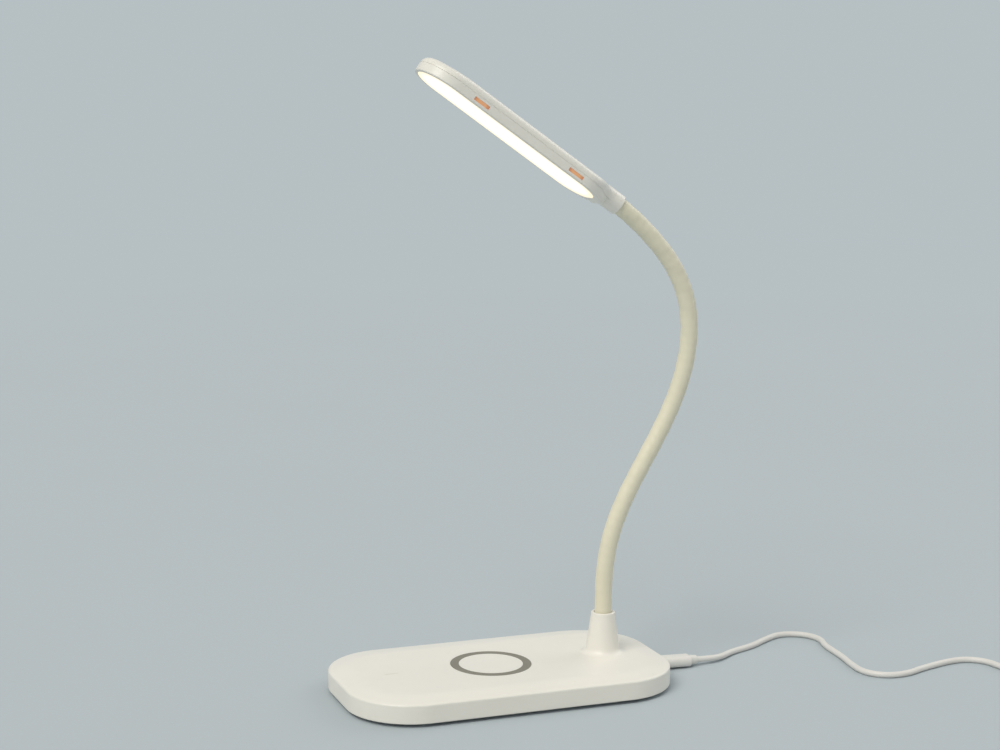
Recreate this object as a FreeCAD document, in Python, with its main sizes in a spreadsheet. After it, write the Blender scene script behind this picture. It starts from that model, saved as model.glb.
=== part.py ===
import FreeCAD, Part
import math
import os
import re

import Sketcher
from FreeCAD import Matrix, Placement, Rotation, Vector

# Desk lamp with a bendable neck on a flat charging base, in millimetres.
# The origin is on the table under the middle of the base. X runs along the base towards the neck
# and the lead, Y away from the viewer, and Z up. The neck and head lie in the plane Y = 0.

# Driving sizes, in millimetres
SIZES = {
    # Base housing
    "base_length": 190.0,
    "base_width": 104.0,
    "base_corner": 37.0,
    "base_body": 12.5,
    "underside_gap": 2.0,
    "crown_rise": 1.8,
    "crown_margin": 12.0,
    "edge_round": 1.2,
    "crown_blend": 40.0,
    "bottom_round": 0.8,
    "base_wall": 2.2,
    "roof_thickness": 2.0,
    "floor_thickness": 1.7,
    "floor_recess": 0.1,
    "fit_gap": 0.1,
    "run_gap": 0.3,
    "overrun": 2.0,
    "match_gap": 0.001,
    # Feet and the bosses over them
    "foot_radius": 6.0,
    "foot_seat": 0.8,
    "foot_bevel": 0.6,
    "foot_inset_x": 25.0,
    "foot_inset_y": 22.0,
    "boss_radius": 4.0,
    # Charging ring, coil and ferrite
    "ring_shift": 5.75,
    "ring_outer": 23.0,
    "ring_inner": 18.1,
    "ring_depth": 0.8,
    "coil_pocket": 25.0,
    "coil_roof": 1.6,
    "coil_outer": 22.0,
    "coil_inner": 10.0,
    "coil_thickness": 1.2,
    "ferrite_radius": 24.0,
    "ferrite_thickness": 0.8,
    # Touch key
    "key_inset": 30.6,
    "key_length": 8.0,
    "key_width": 1.6,
    "key_corner": 0.6,
    "key_depth": 0.6,
    # Ballast and circuit board
    "ballast_gap": 3.0,
    "ballast_width": 70.0,
    "ballast_corner": 6.0,
    "ballast_thickness": 4.0,
    "board_length": 19.8,
    "board_width": 34.0,
    "board_corner": 2.0,
    "board_thickness": 1.6,
    # Inlet and its plug
    "inlet_width": 8.7,
    "inlet_height": 2.9,
    "inlet_wall": 0.35,
    "inlet_corner": 1.4,
    "inlet_length": 7.4,
    "inlet_setback": 0.6,
    "inlet_sink": 0.9,
    "tongue_width": 6.6,
    "tongue_height": 0.7,
    "tongue_corner": 0.2,
    "tongue_setback": 0.9,
    "shell_width": 8.3,
    "shell_height": 2.5,
    "shell_corner": 1.0,
    "shell_length": 6.3,
    "plug_width": 10.0,
    "plug_height": 6.4,
    "plug_length": 23.7,
    "plug_corner": 3.0,
    "plug_round": 1.0,
    "plug_sag": 0.95,
    "relief_length": 4.4,
    "relief_start": 3.0,
    "relief_end": 2.6,
    # Neck socket and its fixing
    "neck_inset": 31.95,
    "socket_height": 23.9,
    "socket_foot": 10.0,
    "socket_rim": 6.8,
    "socket_flare": 4.5,
    "rim_round": 0.5,
    "ferrule_length": 18.0,
    "ferrule_lift": 2.2,
    "nut_radius": 9.0,
    "nut_height": 4.0,
    # Neck
    "neck_straight": 12.6,
    "section_length": 21.0,
    "sleeve_radius": 5.0,
    "core_radius": 3.2,
    "core_bore": 1.5,
    "bend_groove": 1.4,
    # Head housing
    "collar_radius": 6.0,
    "collar_length": 11.0,
    "collar_depth": 4.0,
    "tail_blend": 10.0,
    "head_radius": 19.0,
    "head_rear": 31.0,
    "head_straight": 89.0,
    "head_drop": 6.6,
    "frame_height": 5.2,
    "crown_height": 5.2,
    "crown_radius": 60.0,
    "nose_length": 29.0,
    "nose_radius": 140.0,
    "head_edge_round": 4.0,
    "frame_edge_round": 0.8,
    "seam_round": 0.3,
    "head_wall": 1.6,
    "head_roof": 3.6,
    "head_shoulder": 4.6,
    "light_gap": 0.3,
    # Diffuser, light board and side slots
    "diffuser_rim": 2.0,
    "light_rear": 17.0,
    "light_corner": 15.0,
    "diffuser_thickness": 1.4,
    "diffuser_flange": 0.8,
    "diffuser_ledge": 0.3,
    "slot_length": 10.0,
    "slot_height": 2.0,
    "slot_corner": 0.3,
    "slot_drop": 3.9,
    "slot_rear_inset": 7.3,
    "slot_front_inset": 15.4,
    "light_board_radius": 14.2,
    "light_board_thickness": 1.0,
    "led_length": 2.8,
    "led_width": 3.5,
    "led_thickness": 0.8,
    "led_pitch": 9.0,
    "led_row": 7.0,
    "end_ferrule_length": 5.0,
    # Lead, its coil, tie and wall end plug
    "cord_diameter": 3.5,
    "coil_radius": 26.0,
    "turn_pitch": 4.1,
    "layer_height": 4.0,
    "coil_lift": 1.0,
    "tie_width": 6.0,
    "tie_thickness": 0.7,
    "tie_corner": 2.0,
    "end_plug_width": 15.6,
    "end_plug_height": 7.6,
    "end_plug_length": 19.0,
    "end_plug_corner": 2.5,
    "end_shell_width": 12.0,
    "end_shell_height": 4.5,
    "end_shell_length": 12.0,
    "end_shell_wall": 0.4,
    "end_shell_corner": 0.8,
    "end_tongue_width": 11.0,
    "end_tongue_height": 1.9,
    "end_tongue_corner": 0.3,
    "end_relief_length": 6.0,
}

# Sizes worked out from the driving ones
DERIVED = {
    "base_top": "underside_gap + base_body",
    "margin_top": "base_top - crown_rise",
    "inner_length": "base_length - 2 * base_wall",
    "inner_width": "base_width - 2 * base_wall",
    "inner_corner": "base_corner - base_wall",
    "crown_length": "base_length - 2 * crown_margin",
    "crown_width": "base_width - 2 * crown_margin",
    "crown_corner": "base_corner - crown_margin",
    "floor_bottom": "underside_gap + floor_recess",
    "floor_top": "floor_bottom + floor_thickness",
    "floor_length": "inner_length - 2 * fit_gap",
    "floor_width": "inner_width - 2 * fit_gap",
    "floor_corner": "inner_corner - fit_gap",
    "ceiling": "margin_top - roof_thickness",
    "coil_ceiling": "base_top - coil_roof",
    "foot_x": "base_length / 2 - foot_inset_x",
    "foot_y": "base_width / 2 - foot_inset_y",
    "foot_top": "floor_bottom + foot_seat",
    "neck_shift": "base_length / 2 - neck_inset",
    "key_shift": "base_length / 2 - key_inset",
    "ballast_rear": "foot_x - boss_radius - ballast_gap",
    "ballast_front": "neck_shift - nut_radius - ballast_gap",
    "ballast_length": "ballast_rear + ballast_front",
    "ballast_x": "ballast_front / 2 - ballast_rear / 2",
    "ring_bottom": "base_top - ring_depth",
    "key_bottom": "base_top - key_depth",
    "inlet_outer_width": "inlet_width + 2 * inlet_wall",
    "inlet_outer_height": "inlet_height + 2 * inlet_wall",
    "port_height": "floor_top - inlet_sink + inlet_outer_height / 2",
    "port_width": "inlet_outer_width + 2 * run_gap",
    "port_tall": "inlet_outer_height + 2 * run_gap",
    "inlet_front": "base_length / 2 - inlet_setback",
    "inlet_back": "inlet_front - inlet_length",
    "plug_face": "base_length / 2 + run_gap",
    "board_bottom": "floor_top - inlet_sink + inlet_outer_height",
    "board_x": "base_length / 2 - base_wall - fit_gap - board_length / 2",
    "socket_top": "base_top + socket_height",
    "neck_bore": "sleeve_radius + run_gap",
    "ferrule_radius": "neck_bore - fit_gap",
    "ferrule_bottom": "floor_top + ferrule_lift",
    "ferrule_top": "ferrule_bottom + ferrule_length",
    "nut_bottom": "ceiling - nut_height",
    "neck_root": "socket_top + neck_straight",
    "sleeve_bore": "core_radius + fit_gap",
    "cup_radius": "core_radius + run_gap",
    "half_groove": "bend_groove / 2",
    "collar_bore": "sleeve_radius + run_gap",
    "frame_top": "frame_height - head_drop",
    "crown_axis": "crown_height - crown_radius",
    "cavity_radius": "head_radius - head_wall",
    "cavity_top": "crown_height - head_roof",
    "cavity_shoulder": "crown_height - head_shoulder",
    "light_pocket": "light_board_radius + light_gap",
    "slot_rear": "head_rear + slot_rear_inset",
    "slot_front": "head_rear + head_straight - slot_front_inset",
    "diffuser_opening": "head_radius - diffuser_rim",
    "diffuser_radius": "diffuser_opening - fit_gap",
    "diffuser_rear": "light_rear + fit_gap",
    "diffuser_corner": "light_corner - fit_gap",
    "flange_radius": "diffuser_opening + diffuser_ledge",
    "flange_rear": "light_rear - diffuser_ledge",
    "flange_corner": "light_corner + diffuser_ledge",
    "flange_bottom": "diffuser_thickness - head_drop",
    "end_centre_height": "end_plug_height / 2",
    "coil_centre_height": "cord_diameter / 2 + coil_lift",
}

# How far each neck section turns along its length, in degrees, towards +X where positive
NECK_BENDS = (9.3, 11.7, 7.7, 1.7, -3.3, -7.8, -11.3, -15.1, -19.3, -14.7, -7.1, -7.4)

# Counts
COIL_HALF_TURNS = 7
LED_ROWS = 2
LEDS_IN_ROW = 9
NUT_SIDES = 6

# Where the corner feet stand, and all the feet
CORNER_PLACES = (("foot_x", "foot_y"), ("foot_x", "-foot_y"),
                 ("-foot_x", "foot_y"), ("-foot_x", "-foot_y"))
FOOT_PLACES = CORNER_PLACES + (("0", "0"),)

# Route of the lead after its relief: chosen points, each with its height above where it would
# lie on the table. The last two rise to the coil's lower layer.
CORD_ROUTE = (
    (132.0, 0.0, 1.54),
    (142.0, 3.0, 0.75),
    (153.0, 9.5, 0.0),
    (168.0, 19.5, 0.0),
    (186.5, 33.0, 0.0),
    (200.0, 36.0, 0.0),
    (212.5, 29.5, 0.0),
    (218.0, 16.5, 0.0),
    (216.0, 0.0, 0.0),
    (211.5, -18.5, 0.0),
    (206.0, -37.5, 0.0),
    (208.5, -51.0, 0.0),
    (218.0, -61.0, 0.0),
    (231.5, -62.0, 0.0),
    (249.0, -54.5, 0.0),
    (266.0, -47.0, 0.0),
    (279.5, -46.0, 0.0),
    (290.0, -53.0, 0.0),
    (294.5, -64.5, 0.0),
    (293.0, -81.0, 1.0),
    (293.0, -98.0, 1.0),
)
# The short end that leaves the coil: how far on each of its points lies, the last two lowered
TAIL_REACHES = (11.0, 24.0, 35.0)
ARC_SHARE = 0.45

doc = FreeCAD.newDocument("DeskLamp")
sheet = doc.addObject("Spreadsheet::Sheet", "Sizes")
nodes = []


def fill_sheet():
    """Write the driving sizes as plain numbers and the others as formulas, each under its alias."""
    rows = list(SIZES.items()) + [(name, "=" + formula) for name, formula in DERIVED.items()]
    for row, (name, content) in enumerate(rows, start=1):
        sheet.set("A%d" % row, name)
        sheet.set("B%d" % row, str(content))
        sheet.setAlias("B%d" % row, name)
    doc.recompute()


def size(text):
    """The value of a cell, or of a sum of products of cells without brackets."""
    total = 0.0
    for sign, term in re.findall(r"([+-]?)\s*([^+-]+)", text):
        product = 1.0
        for mark, factor in re.findall(r"([*/]?)\s*([\w.]+)", term):
            number = float(sheet.get(factor)) if factor[0].isalpha() else float(factor)
            product = product / number if mark == "/" else product * number
        total += -product if sign == "-" else product
    return total


def formula(text):
    """An expression whose names are cells of the sheet."""
    return re.sub(r"[a-z][a-z_]*[a-z]", lambda word: "Sizes." + word.group(), text)


def bind(thing, **properties):
    """Tie properties to the sheet, such as Radius="foot_radius"."""
    for name, text in properties.items():
        thing.setExpression(name.replace("__", "."), formula(text))
    return thing


def publish(label, thing):
    """Give a finished sub-part its name and list it for writing."""
    thing.Label = label
    nodes.append((label, thing))
    return thing


def primitive(kind, name, **properties):
    return bind(doc.addObject("Part::" + kind, name), **properties)


def combine(kind, name, base, tool):
    """Part::Cut, Part::Common or Part::Fuse of two objects."""
    result = doc.addObject("Part::" + kind, name)
    if kind == "MultiFuse":
        result.Shapes = [base] + list(tool)
    else:
        result.Base = base
        result.Tool = tool
    return result


# Sketch helpers


def new_body(name):
    return doc.addObject("PartDesign::Body", name)


def sketch_on(body, name, role, offset=None, shift=None):
    """A sketch on one of the body's own origin planes, moved off it or along its first axis."""
    sketch = body.newObject("Sketcher::SketchObject", name)
    plane = next(item for item in body.Origin.OriginFeatures if item.Role == role)
    sketch.AttachmentSupport = [(plane, "")]
    sketch.MapMode = "FlatFace"
    if offset:
        bind(sketch, AttachmentOffset__Base__z=offset)
    if shift:
        bind(sketch, AttachmentOffset__Base__x=shift)
    return sketch


def measure(sketch, kind, target, text):
    """Add a dimension to the sketch and tie it to the sheet."""
    index = sketch.addConstraint(Sketcher.Constraint(kind, *target))
    sketch.setExpression("Constraints[%d]" % index, formula(text))


def add_circle(sketch, radius, x="0", y="0"):
    """A circle with its centre at a place given by two cells."""
    spot = Vector(size(x), size(y), 0)
    index = sketch.addGeometry(Part.Circle(spot, Vector(0, 0, 1), size(radius)), False)
    measure(sketch, "Radius", (index, size(radius)), radius)
    for kind, name in (("DistanceX", x), ("DistanceY", y)):
        place_point(sketch, kind, index, name)
    return index


def place_point(sketch, kind, index, name):
    """Hold a circle's centre on an axis, or at a signed distance from it."""
    value = size(name)
    if name == "0":
        axis = -2 if kind == "DistanceX" else -1
        sketch.addConstraint(Sketcher.Constraint("PointOnObject", index, 3, axis))
    elif value > 0:
        measure(sketch, kind, (-1, 1, index, 3, value), name)
    else:
        measure(sketch, kind, (index, 3, -1, 1, -value), name[1:])


def arc(centre, radius, start, end):
    circle = Part.Circle(centre, Vector(0, 0, 1), radius)
    return Part.ArcOfCircle(circle, math.radians(start), math.radians(end))


def add_rounded_rectangle(sketch, length, width, corner):
    """A rectangle with round corners about the sketch's origin: right, top, left and bottom sides."""
    half_x, half_y, radius = size(length) / 2, size(width) / 2, size(corner)
    cx, cy = half_x - radius, half_y - radius
    turns = ((cx, cy, 0), (-cx, cy, 90), (-cx, -cy, 180), (cx, -cy, 270))
    first = sketch.GeometryCount
    for x, y, start in turns:
        sketch.addGeometry(arc(Vector(x, y, 0), radius, start, start + 90), False)
    ends = (
        ((cx, half_y), (-cx, half_y)),
        ((-half_x, cy), (-half_x, -cy)),
        ((-cx, -half_y), (cx, -half_y)),
        ((half_x, -cy), (half_x, cy)),
    )
    for (x1, y1), (x2, y2) in ends:
        sketch.addGeometry(Part.LineSegment(Vector(x1, y1, 0), Vector(x2, y2, 0)), False)
    for side, level in enumerate(("Horizontal", "Vertical", "Horizontal", "Vertical")):
        line = first + 4 + side
        sketch.addConstraint(Sketcher.Constraint(level, line))
        sketch.addConstraint(Sketcher.Constraint("Tangent", first + side, 2, line, 1))
        sketch.addConstraint(Sketcher.Constraint("Tangent", line, 2, first + (side + 1) % 4, 1))
        if side:
            sketch.addConstraint(Sketcher.Constraint("Equal", first, first + side))
    sketch.addConstraint(Sketcher.Constraint("Symmetric", first, 3, first + 2, 3, -1, 1))
    measure(sketch, "Radius", (first, radius), corner)
    span = "(%s) - 2 * (%s)"
    measure(sketch, "DistanceX", (first + 1, 3, first, 3, 2 * cx), span % (length, corner))
    measure(sketch, "DistanceY", (first + 3, 3, first, 3, 2 * cy), span % (width, corner))


def add_stadium(sketch, radius, rear="head_rear", straight="head_straight"):
    """Two half circles joined by straight sides, along the sketch's first axis."""
    r, near, far = size(radius), size(rear), size(rear) + size(straight)
    nose = sketch.addGeometry(arc(Vector(far, 0, 0), r, -90, 90), False)
    top = sketch.addGeometry(Part.LineSegment(Vector(far, r, 0), Vector(near, r, 0)), False)
    tail = sketch.addGeometry(arc(Vector(near, 0, 0), r, 90, 270), False)
    low = sketch.addGeometry(Part.LineSegment(Vector(near, -r, 0), Vector(far, -r, 0)), False)
    for one, two in ((nose, top), (top, tail), (tail, low), (low, nose)):
        sketch.addConstraint(Sketcher.Constraint("Tangent", one, 2, two, 1))
    for end in (nose, tail):
        sketch.addConstraint(Sketcher.Constraint("PointOnObject", end, 3, -1))
    sketch.addConstraint(Sketcher.Constraint("Horizontal", top))
    measure(sketch, "Radius", (nose, r), radius)
    measure(sketch, "DistanceX", (-1, 1, tail, 3, near), rear)
    measure(sketch, "DistanceX", (tail, 3, nose, 3, far - near), straight)


def add_light_outline(sketch, radius, rear, corner):
    """The lit opening from below: round nose, straight sides, blunt rear with round corners."""
    r, back, bend = size(radius), size(rear), size(corner)
    front, turn, flat = size("head_rear + head_straight"), back + bend, r - bend
    nose = sketch.addGeometry(arc(Vector(front, 0, 0), r, -90, 90), False)
    top = sketch.addGeometry(Part.LineSegment(Vector(front, r, 0), Vector(turn, r, 0)), False)
    upper = sketch.addGeometry(arc(Vector(turn, flat, 0), bend, 90, 180), False)
    end = sketch.addGeometry(Part.LineSegment(Vector(back, flat, 0), Vector(back, -flat, 0)), False)
    lower = sketch.addGeometry(arc(Vector(turn, -flat, 0), bend, 180, 270), False)
    low = sketch.addGeometry(Part.LineSegment(Vector(turn, -r, 0), Vector(front, -r, 0)), False)
    loop = (nose, top, upper, end, lower, low)
    for one, two in zip(loop, loop[1:] + loop[:1]):
        sketch.addConstraint(Sketcher.Constraint("Tangent", one, 2, two, 1))
    for level, line in (("Horizontal", top), ("Vertical", end), ("Horizontal", low)):
        sketch.addConstraint(Sketcher.Constraint(level, line))
    sketch.addConstraint(Sketcher.Constraint("PointOnObject", nose, 3, -1))
    sketch.addConstraint(Sketcher.Constraint("Equal", upper, lower))
    measure(sketch, "Radius", (nose, r), radius)
    measure(sketch, "Radius", (upper, bend), corner)
    measure(sketch, "DistanceX", (-1, 1, end, 1, back), rear)
    measure(sketch, "DistanceX", (-1, 1, nose, 3, front), "head_rear + head_straight")


def pad(body, sketch, length, name="Pad"):
    feature = body.newObject("PartDesign::Pad", name)
    feature.Profile = sketch
    bind(feature, Length=length)
    return feature


def pocket(body, sketch, length=None, upward=False, midplane=False):
    """Cut along the sketch's normal: down by default, up from a sketch under the solid."""
    feature = body.newObject("PartDesign::Pocket", "Pocket")
    feature.Profile = sketch
    feature.Reversed = upward
    feature.Midplane = midplane
    if length:
        bind(feature, Length=length)
    else:
        feature.Type = "ThroughAll"
    return feature


def edges_where(shape, test):
    """The names of the edges that pass a test on their two end points and middle."""
    names = []
    for index, edge in enumerate(shape.Edges, start=1):
        middle = edge.valueAt((edge.FirstParameter + edge.LastParameter) / 2)
        points = [vertex.Point for vertex in edge.Vertexes] + [middle]
        if test(points):
            names.append("Edge%d" % index)
    return names


def round_edges(body, base, radius, test):
    """Fillet the edges of a feature that pass the test."""
    doc.recompute()
    feature = body.newObject("PartDesign::Fillet", "Fillet")
    feature.Base = (base, edges_where(base.Shape, test))
    bind(feature, Radius=radius)
    return feature


def at_height(height):
    near = size("match_gap")
    return lambda points: all(abs(point.z - height) < near for point in points)


# Base housing


def make_base_top_cover():
    """Moulded upper shell: crowned top, flared neck socket, ring and key recesses, bosses inside."""
    body = new_body("BaseTopCover")
    plan = sketch_on(body, "Plan", "XY_Plane", offset="underside_gap")
    add_rounded_rectangle(plan, "base_length", "base_width", "base_corner")
    block = pad(body, plan, "base_body - crown_rise")
    round_edges(body, block, "bottom_round", at_height(size("underside_gap")))
    crown_at_edge(body)
    add_neck_socket(body)
    hollow_base(body)
    ring = sketch_on(body, "RingRecess", "XY_Plane", offset="base_top")
    add_circle(ring, "ring_outer", "-ring_shift")
    add_circle(ring, "ring_inner", "-ring_shift")
    pocket(body, ring, "base_top - ring_bottom")
    mark = sketch_on(body, "KeyRecess", "XY_Plane", offset="base_top")
    bind(mark, AttachmentOffset__Base__x="-key_shift")
    add_rounded_rectangle(mark, "key_length", "key_width", "key_corner")
    pocket(body, mark, "base_top - key_bottom")
    port = sketch_on(body, "Port", "YZ_Plane", offset="base_length / 2 + overrun")
    bind(port, AttachmentOffset__Base__y="port_height")
    add_rounded_rectangle(port, "port_width", "port_tall", "inlet_corner + run_gap")
    pocket(body, port, "base_wall + 2 * overrun")
    return publish("base_top_cover", body)


def crown_at_edge(body):
    """The top rises from its margin to the flat middle, and its outer edge is softly rounded."""
    low = sketch_on(body, "Margin", "XY_Plane", offset="margin_top")
    add_rounded_rectangle(low, "base_length", "base_width", "base_corner")
    high = sketch_on(body, "Crown", "XY_Plane", offset="base_top")
    add_rounded_rectangle(high, "crown_length", "crown_width", "crown_corner")
    loft = body.newObject("PartDesign::AdditiveLoft", "CrownLoft")
    loft.Profile = low
    loft.Sections = [high]
    loft.Ruled = True
    round_edges(body, loft, "edge_round", at_height(size("margin_top")))
    round_edges(body, body.Tip, "crown_blend", at_height(size("base_top")))


def add_neck_socket(body):
    """A cone that flares into the top, with a rounded rim and a through bore for the neck."""
    cone = body.newObject("PartDesign::AdditiveCone", "SocketCone")
    plane = next(item for item in body.Origin.OriginFeatures if item.Role == "XY_Plane")
    cone.AttachmentSupport = [(plane, "")]
    cone.MapMode = "FlatFace"
    bind(cone, Radius1="socket_foot", Radius2="socket_rim", Height="socket_height")
    bind(cone, AttachmentOffset__Base__x="neck_shift", AttachmentOffset__Base__z="base_top")
    foot = at_height(size("base_top"))
    reach = size("socket_foot + fit_gap")
    centre = Vector(size("neck_shift"), 0, size("base_top"))
    round_edges(
        body, cone, "socket_flare",
        lambda points: foot(points) and all((p - centre).Length < reach for p in points))
    round_edges(body, body.Tip, "rim_round", at_height(size("socket_top")))
    bore = sketch_on(body, "Bore", "XY_Plane")
    add_circle(bore, "neck_bore", "neck_shift")
    pocket(body, bore, "socket_top + overrun", upward=True)


def hollow_base(body):
    """The inside, in three steps: seat of the floor, room round the bosses, room for the coil."""
    seat = sketch_on(body, "FloorSeat", "XY_Plane")
    add_rounded_rectangle(seat, "inner_length", "inner_width", "inner_corner")
    pocket(body, seat, "floor_top", upward=True)
    room = sketch_on(body, "Room", "XY_Plane")
    add_rounded_rectangle(room, "inner_length", "inner_width", "inner_corner")
    for x, y in CORNER_PLACES:
        add_circle(room, "boss_radius", x, y)
    pocket(body, room, "ceiling", upward=True)
    coil = sketch_on(body, "CoilRoom", "XY_Plane")
    add_circle(coil, "coil_pocket", "-ring_shift")
    pocket(body, coil, "coil_ceiling", upward=True)


def make_base_bottom_cover():
    """Floor plate with a round seat for each foot and a shallow one for the inlet."""
    body = new_body("BaseBottomCover")
    plan = sketch_on(body, "Plan", "XY_Plane", offset="floor_bottom")
    add_rounded_rectangle(plan, "floor_length", "floor_width", "floor_corner")
    pad(body, plan, "floor_thickness")
    seats = sketch_on(body, "Seats", "XY_Plane")
    for x, y in FOOT_PLACES:
        add_circle(seats, "foot_radius + fit_gap", x, y)
    pocket(body, seats, "foot_top", upward=True)
    seat = sketch_on(body, "InletSeat", "XY_Plane", offset="floor_top")
    bind(seat, AttachmentOffset__Base__x="base_length / 2")
    add_rounded_rectangle(seat, "base_length - 2 * inlet_back + 2 * fit_gap",
                          "inlet_outer_width + 2 * fit_gap", "inlet_wall")
    pocket(body, seat, "inlet_sink")
    return publish("base_bottom_cover", body)


def make_feet():
    """Rubber discs, bevelled where they meet the table: one near each corner and one amid them."""
    for index, (x, y) in enumerate(FOOT_PLACES, start=1):
        disc = primitive("Cylinder", "FootDisc", Radius="foot_radius", Height="foot_top - foot_bevel")
        bind(disc, Placement__Base__z="foot_bevel")
        sole = primitive("Cone", "FootSole", Radius1="foot_radius - foot_bevel",
                         Radius2="foot_radius", Height="foot_bevel")
        foot = combine("Fuse", "Foot", disc, sole)
        foot.Placement.Base = Vector(size(x), size(y), 0)
        publish("rubber_foot_%d" % index, foot)


def make_disc(label, radius, height, bottom, shift, bore=None):
    """A flat disc or ring on the base, lying at a given height."""
    shape = primitive("Cylinder", "Disc", Radius=radius, Height=height)
    if bore:
        tool = primitive("Cylinder", "DiscBore", Radius=bore, Height=height + " + 2 * overrun")
        bind(tool, Placement__Base__z="-overrun")
        shape = combine("Cut", "Ring", shape, tool)
    bind(shape, Placement__Base__x=shift, Placement__Base__z=bottom)
    return publish(label, shape)


def make_plate(label, length, width, corner, height, x, z):
    """A flat plate with round corners."""
    body = new_body("Plate")
    plan = sketch_on(body, "Plan", "XY_Plane")
    add_rounded_rectangle(plan, length, width, corner)
    pad(body, plan, height)
    bind(body, Placement__Base__x=x, Placement__Base__z=z)
    return publish(label, body)


def make_base_inside():
    make_disc("charging_ring", "ring_outer - fit_gap", "ring_depth", "ring_bottom",
              "-ring_shift", "ring_inner + fit_gap")
    make_disc("charging_coil", "coil_outer", "coil_thickness", "coil_ceiling - coil_thickness",
              "-ring_shift", "coil_inner")
    make_disc("ferrite_plate", "ferrite_radius", "ferrite_thickness",
              "coil_ceiling - coil_thickness - ferrite_thickness", "-ring_shift")
    make_plate("touch_key", "key_length - 2 * fit_gap", "key_width - 2 * fit_gap",
               "key_corner - fit_gap", "key_depth", "-key_shift", "key_bottom")
    make_plate("ballast_plate", "ballast_length", "ballast_width", "ballast_corner",
               "ballast_thickness", "ballast_x", "floor_top")
    make_plate("circuit_board", "board_length", "board_width", "board_corner",
               "board_thickness", "board_x", "board_bottom")


# Inlet and plug


def make_shell(name, width, height, corner, wall, length, back=True):
    """A thin drawn tube along X with its opening at +X, closed at the back where asked."""
    body = new_body(name)
    outer = sketch_on(body, "Outer", "YZ_Plane")
    add_rounded_rectangle(outer, width, height, corner)
    pad(body, outer, length)
    inner = sketch_on(body, "Inner", "YZ_Plane", offset=length + " + overrun")
    inside = " - 2 * " + wall
    add_rounded_rectangle(inner, width + inside, height + inside, corner + " - " + wall)
    depth = length + " - " + wall if back else length + " + overrun"
    pocket(body, inner, depth + " + overrun")
    return body


def add_tongue(body, width, height, corner, start, length):
    tongue = sketch_on(body, "Tongue", "YZ_Plane", offset=start)
    add_rounded_rectangle(tongue, width, height, corner)
    pad(body, tongue, length)


def on_plug(distance):
    """Place and turn, on the plug's axis, at a distance from the middle of its shell.

    The plug tips down in its inlet by the play that it has there."""
    tip = math.asin(size("plug_sag") / size("plug_length + shell_length / 2"))
    middle = Vector(size("plug_face - shell_length / 2"), 0, size("port_height"))
    heading = Vector(math.cos(tip), 0, -math.sin(tip))
    return Placement(middle + heading * distance, Rotation(Vector(0, 1, 0), math.degrees(tip)))


def make_inlet_and_plug():
    inlet = make_shell("Inlet", "inlet_outer_width", "inlet_outer_height", "inlet_corner",
                       "inlet_wall", "inlet_length")
    add_tongue(inlet, "tongue_width", "tongue_height", "tongue_corner", "inlet_wall",
               "inlet_length - inlet_wall - tongue_setback")
    bind(inlet, Placement__Base__x="inlet_back", Placement__Base__z="port_height")
    publish("usb_inlet", inlet)
    shell = make_shell("PlugShell", "shell_width", "shell_height", "shell_corner",
                       "inlet_wall", "shell_length", back=False)
    shell.Placement = on_plug(-size("shell_length") / 2)
    publish("usb_plug_shell", shell)
    grip = make_grip("PlugGrip", "plug_width", "plug_height", "plug_corner", "plug_length")
    grip.Placement = on_plug(size("shell_length") / 2)
    publish("usb_plug_grip", grip)
    relief = primitive("Cone", "Relief", Radius1="relief_start", Radius2="relief_end",
                       Height="relief_length")
    end = on_plug(size("shell_length / 2 + plug_length"))
    relief.Placement = end * Placement(Vector(), Rotation(Vector(0, 1, 0), 90))
    publish("usb_plug_relief", relief)


def make_grip(name, width, height, corner, length):
    """A moulded plug grip along X with softened end edges."""
    body = new_body(name)
    section = sketch_on(body, "Section", "YZ_Plane")
    add_rounded_rectangle(section, width, height, corner)
    block = pad(body, section, length)
    near = size("match_gap")

    def at_an_end(points):
        spread = [point.x for point in points]
        return max(spread) - min(spread) < near

    round_edges(body, block, "plug_round", at_an_end)
    return body


# Neck


def neck_path():
    """Each joint place with its heading in degrees from upright, and the neck's end as the last."""
    x, z, heading = size("neck_shift"), size("neck_root"), 0.0
    places = [(Vector(x, 0, z), heading)]
    for bend in NECK_BENDS:
        radius = size("section_length") / math.radians(bend)
        before, after = math.radians(heading), math.radians(heading + bend)
        x += radius * (math.cos(before) - math.cos(after))
        z += radius * (math.sin(after) - math.sin(before))
        heading += bend
        places.append((Vector(x, 0, z), heading))
    return places


def section_placement(place, heading, bend):
    """From a ring about Z that starts on +X to the arc that leaves a joint along its heading."""
    side = 1 if bend > 0 else -1
    angle = math.radians(heading)
    outward = Vector(-side * math.cos(angle), 0, side * math.sin(angle))
    along = Vector(math.sin(angle), 0, math.cos(angle))
    across = outward.cross(along)
    radius = size("section_length") / abs(math.radians(bend))
    base = place - outward * radius
    matrix = Matrix(outward.x, along.x, across.x, base.x,
                    outward.y, along.y, across.y, base.y,
                    outward.z, along.z, across.z, base.z,
                    0, 0, 0, 1)
    return Placement(matrix)


def arc_tube(name, bend, radius, before, after):
    """Part of a ring: a tube along the section's arc, from one length before its start to another
    after its end. Negative lengths shorten it."""
    turn = abs(bend)
    ring = primitive("Torus", name, Radius2=radius)
    bind(ring, Radius1="section_length / %r" % math.radians(turn))
    share = "%r * (section_length + (%s) + (%s)) / section_length"
    bind(ring, Angle3=share % (turn, before, after))
    back = -turn * size(before) / size("section_length")
    ring.Placement.Rotation = Rotation(Vector(0, 0, 1), back)
    return ring


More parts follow.
